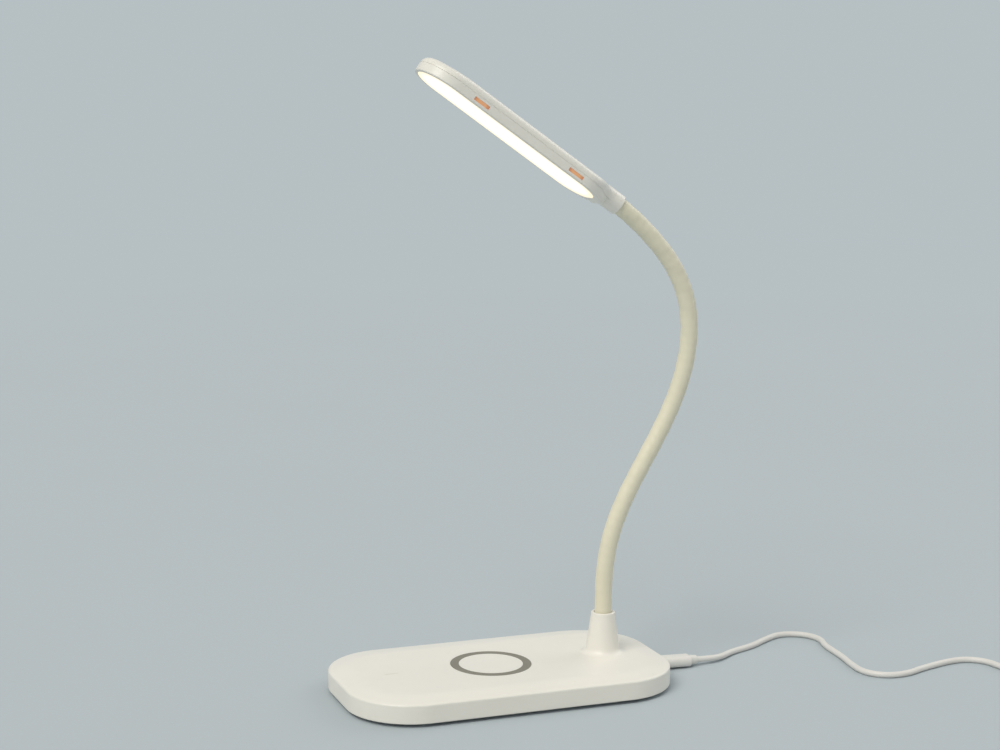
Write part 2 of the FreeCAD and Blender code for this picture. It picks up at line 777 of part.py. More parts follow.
def make_section(index, place, heading, bend, last):
    """One length of the neck: a sleeve over a core with a dome below and a cup above."""
    placement = section_placement(place, heading, bend)
    end = "0" if last else "-half_groove"
    skin = arc_tube("Skin", bend, "sleeve_radius", "-half_groove", end)
    hollow = arc_tube("SkinBore", bend, "sleeve_bore", "overrun", "overrun")
    sleeve = combine("Cut", "Sleeve", skin, hollow)
    sleeve.Placement = placement
    publish("neck_sleeve_%02d" % index, sleeve)
    rod = arc_tube("Rod", bend, "core_radius", "0", "0")
    radius = size("section_length") / abs(math.radians(bend))
    dome = primitive("Sphere", "Dome", Radius="core_radius")
    dome.Placement.Base = Vector(radius, 0, 0)
    core = combine("Fuse", "CoreBody", rod, dome)
    if not last:
        cup = primitive("Sphere", "Cup", Radius="cup_radius")
        turn = math.radians(abs(bend))
        cup.Placement.Base = Vector(radius * math.cos(turn), radius * math.sin(turn), 0)
        core = combine("Cut", "CoreCup", core, cup)
    wire_way = arc_tube("WireWay", bend, "core_bore", "core_radius + overrun", "overrun")
    core = combine("Cut", "Core", core, wire_way)
    core.Placement = placement
    publish("neck_core_%02d" % index, core)


def make_neck_root():
    """The upright foot of the neck in its socket, with the ferrule and nut that hold it."""
    at_neck = {"Placement__Base__x": "neck_shift"}
    skin = primitive("Cylinder", "RootSkin", Radius="sleeve_radius",
                     Height="neck_root - half_groove - ferrule_top")
    hollow = primitive("Cylinder", "RootBore", Radius="sleeve_bore", Height="neck_root - ferrule_top")
    sleeve = combine("Cut", "RootSleeve", skin, hollow)
    publish("neck_sleeve_root", bind(sleeve, Placement__Base__z="ferrule_top", **at_neck))
    rod = primitive("Cylinder", "RootRod", Radius="core_radius", Height="neck_root - ferrule_bottom")
    cup = primitive("Sphere", "RootCup", Radius="cup_radius")
    bind(cup, Placement__Base__z="neck_root - ferrule_bottom")
    way = primitive("Cylinder", "RootWay", Radius="core_bore", Height="neck_root")
    core = combine("Cut", "RootCore", combine("Cut", "RootCupped", rod, cup), way)
    publish("neck_core_root", bind(core, Placement__Base__z="ferrule_bottom", **at_neck))
    tube = primitive("Cylinder", "FerruleTube", Radius="ferrule_radius", Height="ferrule_length")
    inside = primitive("Cylinder", "FerruleBore", Radius="sleeve_bore", Height="ferrule_length")
    ferrule = combine("Cut", "Ferrule", tube, inside)
    publish("neck_ferrule", bind(ferrule, Placement__Base__z="ferrule_bottom", **at_neck))
    block = primitive("Prism", "NutBlock", Circumradius="nut_radius", Height="nut_height")
    block.Polygon = NUT_SIDES
    thread = primitive("Cylinder", "NutThread", Radius="neck_bore", Height="nut_height")
    nut = combine("Cut", "Nut", block, thread)
    publish("neck_nut", bind(nut, Placement__Base__z="nut_bottom", **at_neck))


def make_neck():
    make_neck_root()
    places = neck_path()
    for index, bend in enumerate(NECK_BENDS, start=1):
        place, heading = places[index - 1]
        make_section(index, place, heading, bend, index == len(NECK_BENDS))
    for index, (place, heading) in enumerate(places):
        print("joint %2d at %.4f %.4f heading %.2f" % (index, place.x, place.z, heading))
    return places[-1]


# Head, drawn along its own X from the collar to the tip, with its light facing its own -Z


def head_placement(end):
    place, heading = end
    angle = math.radians(heading)
    along = Vector(math.sin(angle), 0, math.cos(angle))
    upward = Vector(math.cos(angle), 0, -math.sin(angle))
    across = upward.cross(along)
    base = place - along * size("collar_depth")
    return Placement(Matrix(along.x, across.x, upward.x, base.x,
                            along.y, across.y, upward.y, base.y,
                            along.z, across.z, upward.z, base.z,
                            0, 0, 0, 1))


def add_head_outline(sketch):
    """The head seen from above: round nose, straight sides, round rear drawn into the collar."""
    big, small, neck = size("head_radius"), size("tail_blend"), size("collar_radius")
    near, far = size("head_rear"), size("head_rear") + size("head_straight")
    start = near - math.sqrt((big + small) ** 2 - (neck + small) ** 2)
    lean = math.degrees(math.acos((neck + small) / (big + small)))
    nose = sketch.addGeometry(arc(Vector(far, 0, 0), big, -90, 90), False)
    side = sketch.addGeometry(Part.LineSegment(Vector(far, big, 0), Vector(near, big, 0)), False)
    rear = sketch.addGeometry(arc(Vector(near, 0, 0), big, 90, 90 + lean), False)
    blend = arc(Vector(start, neck + small, 0), small, 270, 270 + lean)
    hollow = sketch.addGeometry(blend, False)
    mouth = Part.LineSegment(Vector(start, neck, 0), Vector(start, -neck, 0))
    front = sketch.addGeometry(mouth, False)
    blend = arc(Vector(start, -neck - small, 0), small, 90 - lean, 90)
    hollow_low = sketch.addGeometry(blend, False)
    rear_low = sketch.addGeometry(arc(Vector(near, 0, 0), big, 270 - lean, 270), False)
    side_low = sketch.addGeometry(Part.LineSegment(Vector(near, -big, 0), Vector(far, -big, 0)), False)
    joins = (
        (nose, 2, side, 1), (side, 2, rear, 1), (rear, 2, hollow, 2),
        (hollow_low, 1, rear_low, 1), (rear_low, 2, side_low, 1), (side_low, 2, nose, 1),
    )
    for one, end_one, two, end_two in joins:
        sketch.addConstraint(Sketcher.Constraint("Tangent", one, end_one, two, end_two))
    sketch.addConstraint(Sketcher.Constraint("Coincident", hollow, 1, front, 1))
    sketch.addConstraint(Sketcher.Constraint("Coincident", front, 2, hollow_low, 2))
    sketch.addConstraint(Sketcher.Constraint("Vertical", hollow, 3, front, 1))
    sketch.addConstraint(Sketcher.Constraint("Horizontal", side))
    sketch.addConstraint(Sketcher.Constraint("Coincident", rear, 3, rear_low, 3))
    sketch.addConstraint(Sketcher.Constraint("Equal", nose, rear))
    sketch.addConstraint(Sketcher.Constraint("Equal", rear, rear_low))
    sketch.addConstraint(Sketcher.Constraint("PointOnObject", rear, 3, -1))
    sketch.addConstraint(Sketcher.Constraint("Symmetric", front, 1, front, 2, -1))
    sketch.addConstraint(Sketcher.Constraint("Equal", hollow, hollow_low))
    measure(sketch, "Radius", (nose, big), "head_radius")
    measure(sketch, "Radius", (hollow, small), "tail_blend")
    measure(sketch, "DistanceY", (front, 2, front, 1, 2 * neck), "2 * collar_radius")
    measure(sketch, "DistanceX", (-1, 1, rear, 3, near), "head_rear")
    measure(sketch, "DistanceX", (rear, 3, nose, 3, far - near), "head_straight")


def make_crown_barrel():
    """A long barrel whose skin is the head's crown: round across, and falling away at the nose."""
    top, axis, nose = size("crown_height"), size("crown_axis"), size("nose_radius")
    rear, tip = -size("overrun"), size("head_rear") + size("head_straight") + size("head_radius")
    turn = tip - size("nose_length")
    tip += size("overrun")
    fall = nose - math.sqrt(nose ** 2 - (tip - turn) ** 2)
    half = math.asin((tip - turn) / nose) / 2
    middle = Vector(turn + nose * math.sin(half), 0, top - nose * (1 - math.cos(half)))
    end = Vector(tip, 0, top - fall)
    edges = [
        Part.LineSegment(Vector(rear, 0, axis), Vector(rear, 0, top)).toShape(),
        Part.LineSegment(Vector(rear, 0, top), Vector(turn, 0, top)).toShape(),
        Part.Arc(Vector(turn, 0, top), middle, end).toShape(),
        Part.LineSegment(end, Vector(tip, 0, axis)).toShape(),
        Part.LineSegment(Vector(tip, 0, axis), Vector(rear, 0, axis)).toShape(),
    ]
    barrel = doc.addObject("Part::Feature", "CrownBarrel")
    pivot, forward = Vector(rear, 0, axis), Vector(1, 0, 0)
    profile = Part.Face(Part.Wire(edges))
    profile.rotate(pivot, forward, 180)
    barrel.Shape = profile.revolve(pivot, forward, 360)
    return barrel


def along_x(kind, name, start, **properties):
    """A round primitive laid along X from a given place."""
    thing = primitive(kind, name, **properties)
    thing.Placement.Rotation = Rotation(Vector(0, 1, 0), 90)
    return bind(thing, Placement__Base__x=start)


def stadium_block(name, radius, bottom, height):
    """A Body that holds one stadium pad in the head's frame."""
    body = new_body(name)
    plan = sketch_on(body, "Plan", "XY_Plane", offset=bottom)
    add_stadium(plan, radius)
    pad(body, plan, height)
    return body


def make_head_top_cover(placement):
    """Upper shell of the head: crowned plan pad, soft edge, round collar, hollow underneath."""
    body = new_body("HeadPlan")
    plan = sketch_on(body, "Plan", "XY_Plane", offset="frame_top")
    add_head_outline(plan)
    pad(body, plan, "crown_height - frame_top + overrun")
    crowned = combine("Common", "Crowned", body, make_crown_barrel())
    doc.recompute()
    soft = doc.addObject("Part::Fillet", "SoftEdge")
    soft.Base = crowned
    low, near = size("frame_top + fit_gap"), size("match_gap")

    def is_crown_edge(points):
        spread = [point.x for point in points]
        return all(p.z > low for p in points) and max(spread) - min(spread) > near

    radius = size("head_edge_round")
    names = edges_where(crowned.Shape, is_crown_edge)
    soft.Edges = [(int(name[4:]), radius, radius) for name in names]
    collar = along_x("Cylinder", "Collar", "0", Radius="collar_radius", Height="collar_length")
    outer = combine("Fuse", "HeadOuter", soft, collar)
    room = stadium_block("HeadRoom", "cavity_radius", "frame_top - overrun",
                         "cavity_shoulder - frame_top + overrun")
    upper = sketch_on(room, "Upper", "XY_Plane", offset="frame_top")
    add_stadium(upper, "light_pocket")
    pad(room, upper, "cavity_top - frame_top")
    hollow = combine("Cut", "HeadHollow", outer, room)
    bore = along_x("Cylinder", "CollarBore", "-overrun", Radius="collar_bore",
                   Height="collar_depth + end_ferrule_length + overrun")
    wire_way = along_x("Cylinder", "HeadWireWay", "0", Radius="core_bore", Height="head_rear")
    cover = combine("Cut", "HeadTop", combine("Cut", "HeadBored", hollow, bore), wire_way)
    cover.Placement = placement
    publish("head_top_cover", cover)


def make_head_lower_frame(placement):
    """Lower bezel of the head: open plan ring with a step for the diffuser and four side slots."""
    body = new_body("HeadFrame")
    plan = sketch_on(body, "Plan", "XY_Plane", offset="-head_drop")
    add_head_outline(plan)
    block = pad(body, plan, "frame_height")
    bottom = -size("head_drop")
    round_edges(body, block, "frame_edge_round", at_height(bottom))
    round_edges(body, body.Tip, "seam_round", at_height(size("frame_top")))
    opening = sketch_on(body, "Opening", "XY_Plane", offset="-head_drop - overrun")
    add_light_outline(opening, "diffuser_opening", "light_rear", "light_corner")
    pocket(body, opening, "frame_height + 2 * overrun", upward=True)
    room = sketch_on(body, "Room", "XY_Plane", offset="frame_top + overrun")
    add_stadium(room, "cavity_radius")
    pocket(body, room, "frame_top + overrun - flange_bottom")
    clear = sketch_on(body, "CollarClear", "XY_Plane", offset="frame_top + overrun")
    bind(clear, AttachmentOffset__Base__x="collar_length / 2 + fit_gap - overrun")
    add_rounded_rectangle(clear, "collar_length + 2 * overrun", "2 * head_radius", "fit_gap")
    pocket(body, clear, "frame_height + 2 * overrun")
    for place in ("slot_rear", "slot_front"):
        slot = sketch_on(body, "SideSlot", "XZ_Plane")
        bind(slot, AttachmentOffset__Base__x=place, AttachmentOffset__Base__y="-slot_drop")
        add_rounded_rectangle(slot, "slot_length", "slot_height", "slot_corner")
        pocket(body, slot, "2 * head_radius + 2 * overrun", midplane=True)
    body.Placement = placement
    publish("head_lower_frame", body)


def make_diffuser(placement):
    """Light plate that fills the opening, with a flange that rests on the step inside."""
    body = new_body("Diffuser")
    plan = sketch_on(body, "Plan", "XY_Plane", offset="-head_drop")
    add_light_outline(plan, "diffuser_radius", "diffuser_rear", "diffuser_corner")
    pad(body, plan, "diffuser_thickness")
    flange = sketch_on(body, "Flange", "XY_Plane", offset="flange_bottom")
    add_light_outline(flange, "flange_radius", "flange_rear", "flange_corner")
    pad(body, flange, "diffuser_flange")
    body.Placement = placement
    publish("head_diffuser", body)


def make_row_of_blocks(label, placement, spots, length, width, height):
    """Small equal blocks in one node, each with its lowest corner on its spot."""
    blocks = []
    for spot in spots:
        block = primitive("Box", "Block", Length=length, Width=width, Height=height)
        block.Placement.Base = spot
        blocks.append(block)
    group = doc.addObject("Part::Compound", "Blocks")
    group.Links = blocks
    group.Placement = placement
    publish(label, group)


def make_head_light(placement):
    """Light board under the cover's roof, its rows of emitters, and the tongues in the slots."""
    board = stadium_block("LightBoard", "light_board_radius",
                          "cavity_top - light_board_thickness", "light_board_thickness")
    board.Placement = placement
    publish("head_light_board", board)
    length, width = size("led_length"), size("led_width")
    bottom = size("cavity_top - light_board_thickness - led_thickness")
    middle = size("head_rear") + size("head_straight") / 2
    spots = []
    for row in range(LED_ROWS):
        y = (row - (LED_ROWS - 1) / 2) * 2 * size("led_row") / max(LED_ROWS - 1, 1) - width / 2
        for place in range(LEDS_IN_ROW):
            x = middle + (place - (LEDS_IN_ROW - 1) / 2) * size("led_pitch") - length / 2
            spots.append(Vector(x, y, bottom))
    make_row_of_blocks("head_leds", placement, spots, "led_length", "led_width", "led_thickness")
    gap = size("fit_gap")
    depth = size("head_wall") - 2 * gap
    spots = []
    for x in (size("slot_rear"), size("slot_front")):
        for y in (size("cavity_radius"), -size("cavity_radius") - depth):
            corner = Vector(x - size("slot_length") / 2 + gap, y, -size("slot_drop"))
            spots.append(corner - Vector(0, 0, size("slot_height") / 2 - gap))
    make_row_of_blocks("head_slot_tongues", placement, spots, "slot_length - 2 * fit_gap",
                       "head_wall - 2 * fit_gap", "slot_height - 2 * fit_gap")


def make_head(end):
    placement = head_placement(end)
    make_head_top_cover(placement)
    make_head_lower_frame(placement)
    make_diffuser(placement)
    make_head_light(placement)
    plug = along_x("Cylinder", "EndFerruleRod", "collar_depth", Radius="collar_bore - fit_gap",
                   Height="end_ferrule_length")
    way = along_x("Cylinder", "EndFerruleWay", "0", Radius="core_bore", Height="head_rear")
    ferrule = combine("Cut", "EndFerrule", plug, way)
    ferrule.Placement = placement
    publish("head_ferrule", ferrule)
    print("head frame", placement.Base, placement.Rotation.Q)


# Lead


def rounded_path(points, title):
    """Straight runs joined by tangent arcs, each as large as its two runs allow."""
    edges = []
    radii = []
    last = points[0]
    for before, corner, after in zip(points, points[1:], points[2:]):
        back, ahead = before - corner, after - corner
        reach = ARC_SHARE * min(back.Length, ahead.Length)
        turn = math.pi - back.getAngle(ahead)
        radii.append(reach / math.tan(turn / 2))
        back.normalize()
        ahead.normalize()
        entry, leave = corner + back * reach, corner + ahead * reach
        towards = back + ahead
        towards.normalize()
        centre = corner + towards * math.hypot(radii[-1], reach)
        middle = centre - towards * radii[-1]
        edges.append(Part.LineSegment(last, entry).toShape())
        edges.append(Part.Arc(entry, middle, leave).toShape())
        last = leave
    edges.append(Part.LineSegment(last, points[-1]).toShape())
    print(title, "radii", " ".join("%.1f" % radius for radius in radii))
    return Part.Wire(edges)


def make_tube(label, path, title):
    """A round tube swept along the path, checked against its section times its length."""
    radius = size("cord_diameter") / 2
    first = path.OrderedEdges[0]
    start = first.valueAt(first.FirstParameter)
    circle = Part.makeCircle(radius, start, first.tangentAt(first.FirstParameter))
    solid = path.makePipeShell([Part.Wire([circle])], True, False)
    ideal = math.pi * radius ** 2 * path.Length
    print(title, "length %.1f volume ratio %.4f" % (path.Length, solid.Volume / ideal))
    tube = doc.addObject("Part::Feature", "Tube")
    tube.Shape = solid
    publish(label, tube)
    return path.Length


def half_turn(start, direction, across):
    """Half a circle that leaves start along direction and ends at start + across."""
    centre = start + across / 2
    middle = centre + direction * (across.Length / 2)
    return Part.Arc(start, middle, start + across).toShape()


def coil_path(start):
    """One unbroken line: in along the lower layer, up in one half turn, out along the upper one."""
    pitch, diameter = size("turn_pitch"), size("cord_diameter")
    along, right = Vector(0, -1, 0), Vector(1, 0, 0)
    edges = [Part.LineSegment(start, start + along * diameter).toShape()]
    here = start + along * diameter
    inward = [size("coil_radius") - pitch / 2 * step for step in range(COIL_HALF_TURNS)]
    turns = [(radius, 0) for radius in inward]
    turns.append((inward[-1] - pitch / 2, size("layer_height")))
    turns.append((inward[-1] - pitch / 4, 0))
    turns += [(radius, 0) for radius in reversed(inward[:-1])]
    side = 1
    for radius, rise in turns:
        across = right * (2 * radius * side) + Vector(0, 0, rise)
        edges.append(half_turn(here, along * side, across))
        here = here + across
        side = -side
    edges.append(Part.LineSegment(here, here + along * (side * diameter)).toShape())
    return Part.Wire(edges), here + along * (side * diameter), along * side


def report_gap(path):
    """Least free space between turns, on points of the centre line far apart along it."""
    count = int(path.Length)
    points = path.discretize(count)
    step = path.Length / (count - 1)
    diameter = size("cord_diameter")
    skip = int(3 * diameter / step)
    least = min(
        (points[i] - points[j]).Length
        for i in range(count) for j in range(i + skip, count))
    print("coil least gap to itself %.2f" % (least - diameter))


def make_tie(corner):
    """A flat strap round all turns on the side towards the viewer."""
    pitch, diameter = size("turn_pitch"), size("cord_diameter")
    gap, thick, width = size("run_gap"), size("tie_thickness"), size("tie_width")
    centre_x = corner.x + size("coil_radius")
    offset = width / 2 + pitch / 2
    steps = COIL_HALF_TURNS - 1 / 2
    inner_turn = size("coil_radius") - pitch / 2 * steps - diameter / 2
    near = math.sqrt(inner_turn ** 2 - offset ** 2) - gap
    far = size("coil_radius") + diameter / 2 + gap
    floor = size("coil_lift") - gap
    height = size("layer_height") + diameter + 2 * gap
    outer = Part.makeBox(width, far - near + 2 * thick, height + 2 * thick)
    outer = outer.makeFillet(size("tie_corner"), edges_along_x(outer))
    inner = Part.makeBox(width, far - near, height, Vector(0, thick, thick))
    inner = inner.makeFillet(size("tie_corner") - thick, edges_along_x(inner))
    tie = doc.addObject("Part::Feature", "Tie")
    tie.Shape = outer.cut(inner)
    tie.Placement.Base = Vector(centre_x + pitch / 4 - width / 2, corner.y - far - thick, floor - thick)
    publish("coil_tie", tie)


def edges_along_x(shape):
    return [edge for edge in shape.Edges if abs(edge.tangentAt(edge.FirstParameter).x) > 0.99]


def make_end_plug(mouth):
    """The plug on the lead's far end, lying on the table and pointing along +Y."""
    turn = Rotation(Vector(0, 0, 1), 90)
    relief = primitive("Cone", "EndRelief", Radius1="relief_end", Radius2="relief_start",
                       Height="end_relief_length")
    relief.Placement = Placement(mouth, turn * Rotation(Vector(0, 1, 0), 90))
    publish("end_plug_relief", relief)
    grip = make_grip("EndGrip", "end_plug_width", "end_plug_height", "end_plug_corner",
                     "end_plug_length")
    face = mouth + Vector(0, size("end_relief_length"), 0)
    grip.Placement = Placement(face, turn)
    publish("end_plug_grip", grip)
    shell = make_shell("EndShell", "end_shell_width", "end_shell_height", "end_shell_corner",
                       "end_shell_wall", "end_shell_length")
    add_tongue(shell, "end_tongue_width", "end_tongue_height", "end_tongue_corner",
               "end_shell_wall",
               "end_shell_length - end_shell_wall - tongue_setback")
    shell.Placement = Placement(face + Vector(0, size("end_plug_length"), 0), turn)
    publish("end_plug_shell", shell)


def make_lead():
    start = on_plug(size("shell_length / 2 + plug_length + relief_length")).Base
    lying = Vector(0, 0, size("cord_diameter / 2"))
    route = [start] + [Vector(*point) + lying for point in CORD_ROUTE]
    free = rounded_path(route, "free cord")
    total = make_tube("cord_free", free, "free cord")
    entry = route[-1]
    coil, leave, heading = coil_path(entry)
    report_gap(coil)
    total += make_tube("cord_coil", coil, "coil")
    make_tie(entry + Vector(0, -size("cord_diameter"), 0))
    drop = size("end_centre_height") - leave.z
    points = [leave] + [leave + Vector(0, reach, drop) for reach in TAIL_REACHES]
    points[1].z = leave.z
    total += make_tube("cord_tail", rounded_path(points, "tail"), "tail")
    make_end_plug(points[-1])
    print("lead length in all %.1f, coil ends at" % total, leave, "heading", heading)


def check_and_write():
    """Stop on any failed object or bad shape, then write one file for each sub-part."""
    doc.recompute()
    failed = [item.Name for item in doc.Objects if {"Invalid", "Error"} & set(item.State)]
    if failed:
        raise RuntimeError("not built: " + ", ".join(failed))
    for label, thing in nodes:
        if thing.Shape.isNull() or not thing.Shape.isValid():
            raise RuntimeError(label + " has no valid shape")
    os.makedirs("parts", exist_ok=True)
    for label, thing in nodes:
        thing.Shape.exportStep("parts/%s.step" % label)
    print(len(nodes), "sub-parts written")


def main():
    fill_sheet()
    make_base_top_cover()
    make_base_bottom_cover()
    make_feet()
    make_base_inside()
    make_inlet_and_plug()
    end = make_neck()
    make_head(end)
    make_lead()
    check_and_write()


main()
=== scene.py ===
import math

import bpy
from mathutils import Matrix, Vector


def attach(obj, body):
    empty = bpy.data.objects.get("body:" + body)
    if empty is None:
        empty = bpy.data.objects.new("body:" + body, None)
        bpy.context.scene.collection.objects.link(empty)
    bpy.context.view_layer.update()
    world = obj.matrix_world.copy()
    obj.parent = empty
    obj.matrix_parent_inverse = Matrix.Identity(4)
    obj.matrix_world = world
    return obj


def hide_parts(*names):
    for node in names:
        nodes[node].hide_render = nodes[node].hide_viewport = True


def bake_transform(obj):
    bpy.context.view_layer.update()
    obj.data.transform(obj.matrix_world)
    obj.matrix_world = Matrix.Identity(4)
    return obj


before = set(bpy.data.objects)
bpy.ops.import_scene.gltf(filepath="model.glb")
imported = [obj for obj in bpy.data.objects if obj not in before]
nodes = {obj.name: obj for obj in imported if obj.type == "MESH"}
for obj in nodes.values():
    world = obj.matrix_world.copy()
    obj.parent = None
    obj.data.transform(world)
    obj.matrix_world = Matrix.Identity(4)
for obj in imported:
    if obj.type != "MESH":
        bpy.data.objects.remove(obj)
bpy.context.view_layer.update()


# Camera. The photograph was taken from in front and a little to the left, slightly above the lamp's
# middle, with a long lens and the camera tipped down and turned a fraction about its own axis.

camera_place = Vector((-0.37976, -0.97081, 0.34018))
camera_turn, camera_tip, camera_lean = 0.371, 0.1537, 0.0109
focal_length, sensor_width = 68.83, 36
nearest_seen, farthest_seen = 0.05, 20
ahead = Vector((math.sin(camera_turn) * math.cos(camera_tip),
                math.cos(camera_turn) * math.cos(camera_tip), -math.sin(camera_tip)))
level = Vector((math.cos(camera_turn), -math.sin(camera_turn), 0))
above = level.cross(ahead)
sideways = level * math.cos(camera_lean) + above * math.sin(camera_lean)
upwards = above * math.cos(camera_lean) - level * math.sin(camera_lean)

lens = bpy.data.cameras.new("photo_camera")
lens.sensor_width = sensor_width
lens.lens = focal_length
lens.clip_start = nearest_seen
lens.clip_end = farthest_seen
camera = bpy.data.objects.new("photo_camera", lens)
camera.matrix_world = Matrix((
    (sideways.x, upwards.x, -ahead.x, camera_place.x),
    (sideways.y, upwards.y, -ahead.y, camera_place.y),
    (sideways.z, upwards.z, -ahead.z, camera_place.z),
    (0, 0, 0, 1)))
bpy.context.collection.objects.link(camera)
bpy.context.scene.camera = camera
bpy.context.scene.view_settings.view_transform = "Standard"


# Studio. The lamp stands on a wide pale table that fades into a backdrop of its own colour. Broad
# soft daylight falls from the left front, a weaker one from the right, and the room glows evenly.

table_colour = (0.47, 0.53, 0.565, 1)
table_cloud = 0.97  # tone of the faint clouds on it, as a share of its own
backdrop_colour = (0.47, 0.525, 0.545, 1)
fade_start, fade_end, table_reach = 0.9, 3.2, 14.0
room_colour, room_glow = (1, 0.99, 0.97, 1), 0.50


def finish_material(name, roughness=0.5, specular=0.5, metallic=0.0):
    """A material with its one Principled shader, returned with its node tree and that shader."""
    made = bpy.data.materials.new(name)
    made.use_nodes = True
    tree = made.node_tree
    shader = next(node for node in tree.nodes if node.type == "BSDF_PRINCIPLED")
    shader.inputs["Roughness"].default_value = roughness
    shader.inputs["Specular IOR Level"].default_value = specular
    shader.inputs["Metallic"].default_value = metallic
    return made, tree, shader


def add_node(tree, kind, links=(), **values):
    """A node with its settings, and its inputs linked from other sockets or set to values."""
    node = tree.nodes.new(kind)
    for name, value in values.items():
        setattr(node, name, value)
    for target, value in dict(links).items():
        socket = node.inputs[target]
        if isinstance(value, bpy.types.NodeSocket):
            tree.links.new(value, socket)
        else:
            socket.default_value = value
    return node


def place_mesh(name, vertices, faces):
    """A smoothly shaded mesh object from points in metres and faces that index them."""
    mesh = bpy.data.meshes.new(name)
    mesh.from_pydata([tuple(v) for v in vertices], [], faces)
    mesh.validate()
    mesh.update()
    for face in mesh.polygons:
        face.use_smooth = True
    made = bpy.data.objects.new(name, mesh)
    bpy.context.collection.objects.link(made)
    return made


corners = [(x, y, 0) for x, y in ((-1, -1), (1, -1), (1, 1), (-1, 1))]
table = place_mesh("table", [Vector(corner) * table_reach for corner in corners], [(0, 1, 2, 3)])
table_finish, tree, shader = finish_material("table", roughness=0.9, specular=0.2)
where = add_node(tree, "ShaderNodeTexCoord")
spread = add_node(tree, "ShaderNodeTexNoise", {
    "Vector": where.outputs["Object"], "Scale": 3.0, "Detail": 3.0})
tone = add_node(tree, "ShaderNodeMix", {
    "Factor": spread.outputs["Fac"], "A": table_colour,
    "B": tuple(table_cloud * c for c in table_colour[:3]) + (1,)}, data_type="RGBA")
tree.links.new(tone.outputs["Result"], shader.inputs["Base Color"])
distance = add_node(tree, "ShaderNodeVectorMath", {0: where.outputs["Object"]}, operation="LENGTH")
away = add_node(tree, "ShaderNodeMapRange", {
    "Value": distance.outputs["Value"], "From Min": fade_start, "From Max": fade_end},
    interpolation_type="SMOOTHSTEP")


def seen_directly(tree):
    """One where a ray comes from the camera, a mirror or a clear thing, as the backdrop is seen."""
    ray = add_node(tree, "ShaderNodeLightPath")
    either = add_node(tree, "ShaderNodeMath", {
        0: ray.outputs["Is Camera Ray"], 1: ray.outputs["Is Glossy Ray"]}, operation="MAXIMUM")
    return add_node(tree, "ShaderNodeMath", {
        0: either.outputs[0], 1: ray.outputs["Is Transmission Ray"]}, operation="MAXIMUM")


faded = add_node(tree, "ShaderNodeMath", {
    0: away.outputs[0], 1: seen_directly(tree).outputs[0]}, operation="MULTIPLY")
glow = add_node(tree, "ShaderNodeEmission", {"Color": backdrop_colour})
blend = add_node(tree, "ShaderNodeMixShader", {
    0: faded.outputs[0], 1: shader.outputs["BSDF"], 2: glow.outputs[0]})
ending = next(node for node in tree.nodes if node.type == "OUTPUT_MATERIAL")
tree.links.new(blend.outputs[0], ending.inputs["Surface"])
table.data.materials.append(table_finish)

world = bpy.data.worlds.new("room")
bpy.context.scene.world = world
world.use_nodes = True
tree = world.node_tree
light = next(node for node in tree.nodes if node.type == "BACKGROUND")
light.inputs["Color"].default_value = room_colour
light.inputs["Strength"].default_value = room_glow
backdrop = add_node(tree, "ShaderNodeBackground", {"Color": backdrop_colour, "Strength": 1.0})
blend = add_node(tree, "ShaderNodeMixShader", {
    0: seen_directly(tree).outputs[0], 1: light.outputs[0], 2: backdrop.outputs[0]})
ending = next(node for node in tree.nodes if node.type == "OUTPUT_WORLD")
tree.links.new(blend.outputs[0], ending.inputs["Surface"])


def soft_daylight(name, source, power, spread, colour=(1, 1, 1)):
    """Even light from one direction, with shadow edges as soft as its spread in degrees."""
    lamp = bpy.data.lights.new(name, "SUN")
    lamp.energy = power
    lamp.angle = math.radians(spread)
    lamp.color = colour
    holder = bpy.data.objects.new(name, lamp)
    holder.location = source
    holder.rotation_euler = (-Vector(source)).to_track_quat("-Z", "Y").to_euler()
    bpy.context.collection.objects.link(holder)


soft_daylight("left_window", source=(-1.3, -0.9, 1.9), power=1.65, spread=34,
              colour=(1, 0.965, 0.90))
soft_daylight("right_window", source=(1.5, 0.5, 1.0), power=0.55, spread=40)


# Lead. A white jacketed cable, 3.5 mm thick, leaves the plug tipped slightly down, comes to rest on
# the table and lies there in loose bends. Past the picture's edge the rest is wound up in a flat
# coil of two layers.

cord_diameter = 0.0035
cord_start = (0.12338, 0.0, 0.00359)
cord_route = (
    (0.132, 0.0, 0.00329), (0.142, 0.003, 0.0025), (0.153, 0.012, 0.00175),
    (0.171, 0.0185, 0.00175), (0.185, 0.028, 0.00175), (0.1995, 0.0355, 0.00175),
    (0.2135, 0.03, 0.00175), (0.2185, 0.0175, 0.00175), (0.2135, 0.0045, 0.00175),
    (0.212, -0.0175, 0.00175), (0.2085, -0.0345, 0.00175), (0.2075, -0.0495, 0.00175),
    (0.217, -0.0595, 0.00175), (0.2315, -0.0595, 0.00175), (0.2435, -0.054, 0.00175),
    (0.266, -0.0475, 0.00175), (0.279, -0.047, 0.00175), (0.2885, -0.055, 0.00175),
    (0.29, -0.068, 0.00175), (0.293, -0.082, 0.00275), (0.293, -0.098, 0.00275),
)
coil_radius, coil_pitch, coil_rise, coil_half_turns = 0.026, 0.0041, 0.004, 7
points_in_half_turn = 6
tail_reaches = (0.011, 0.024, 0.035)
tail_height = 0.0038
jacket_colour = (0.72, 0.71, 0.675, 1)

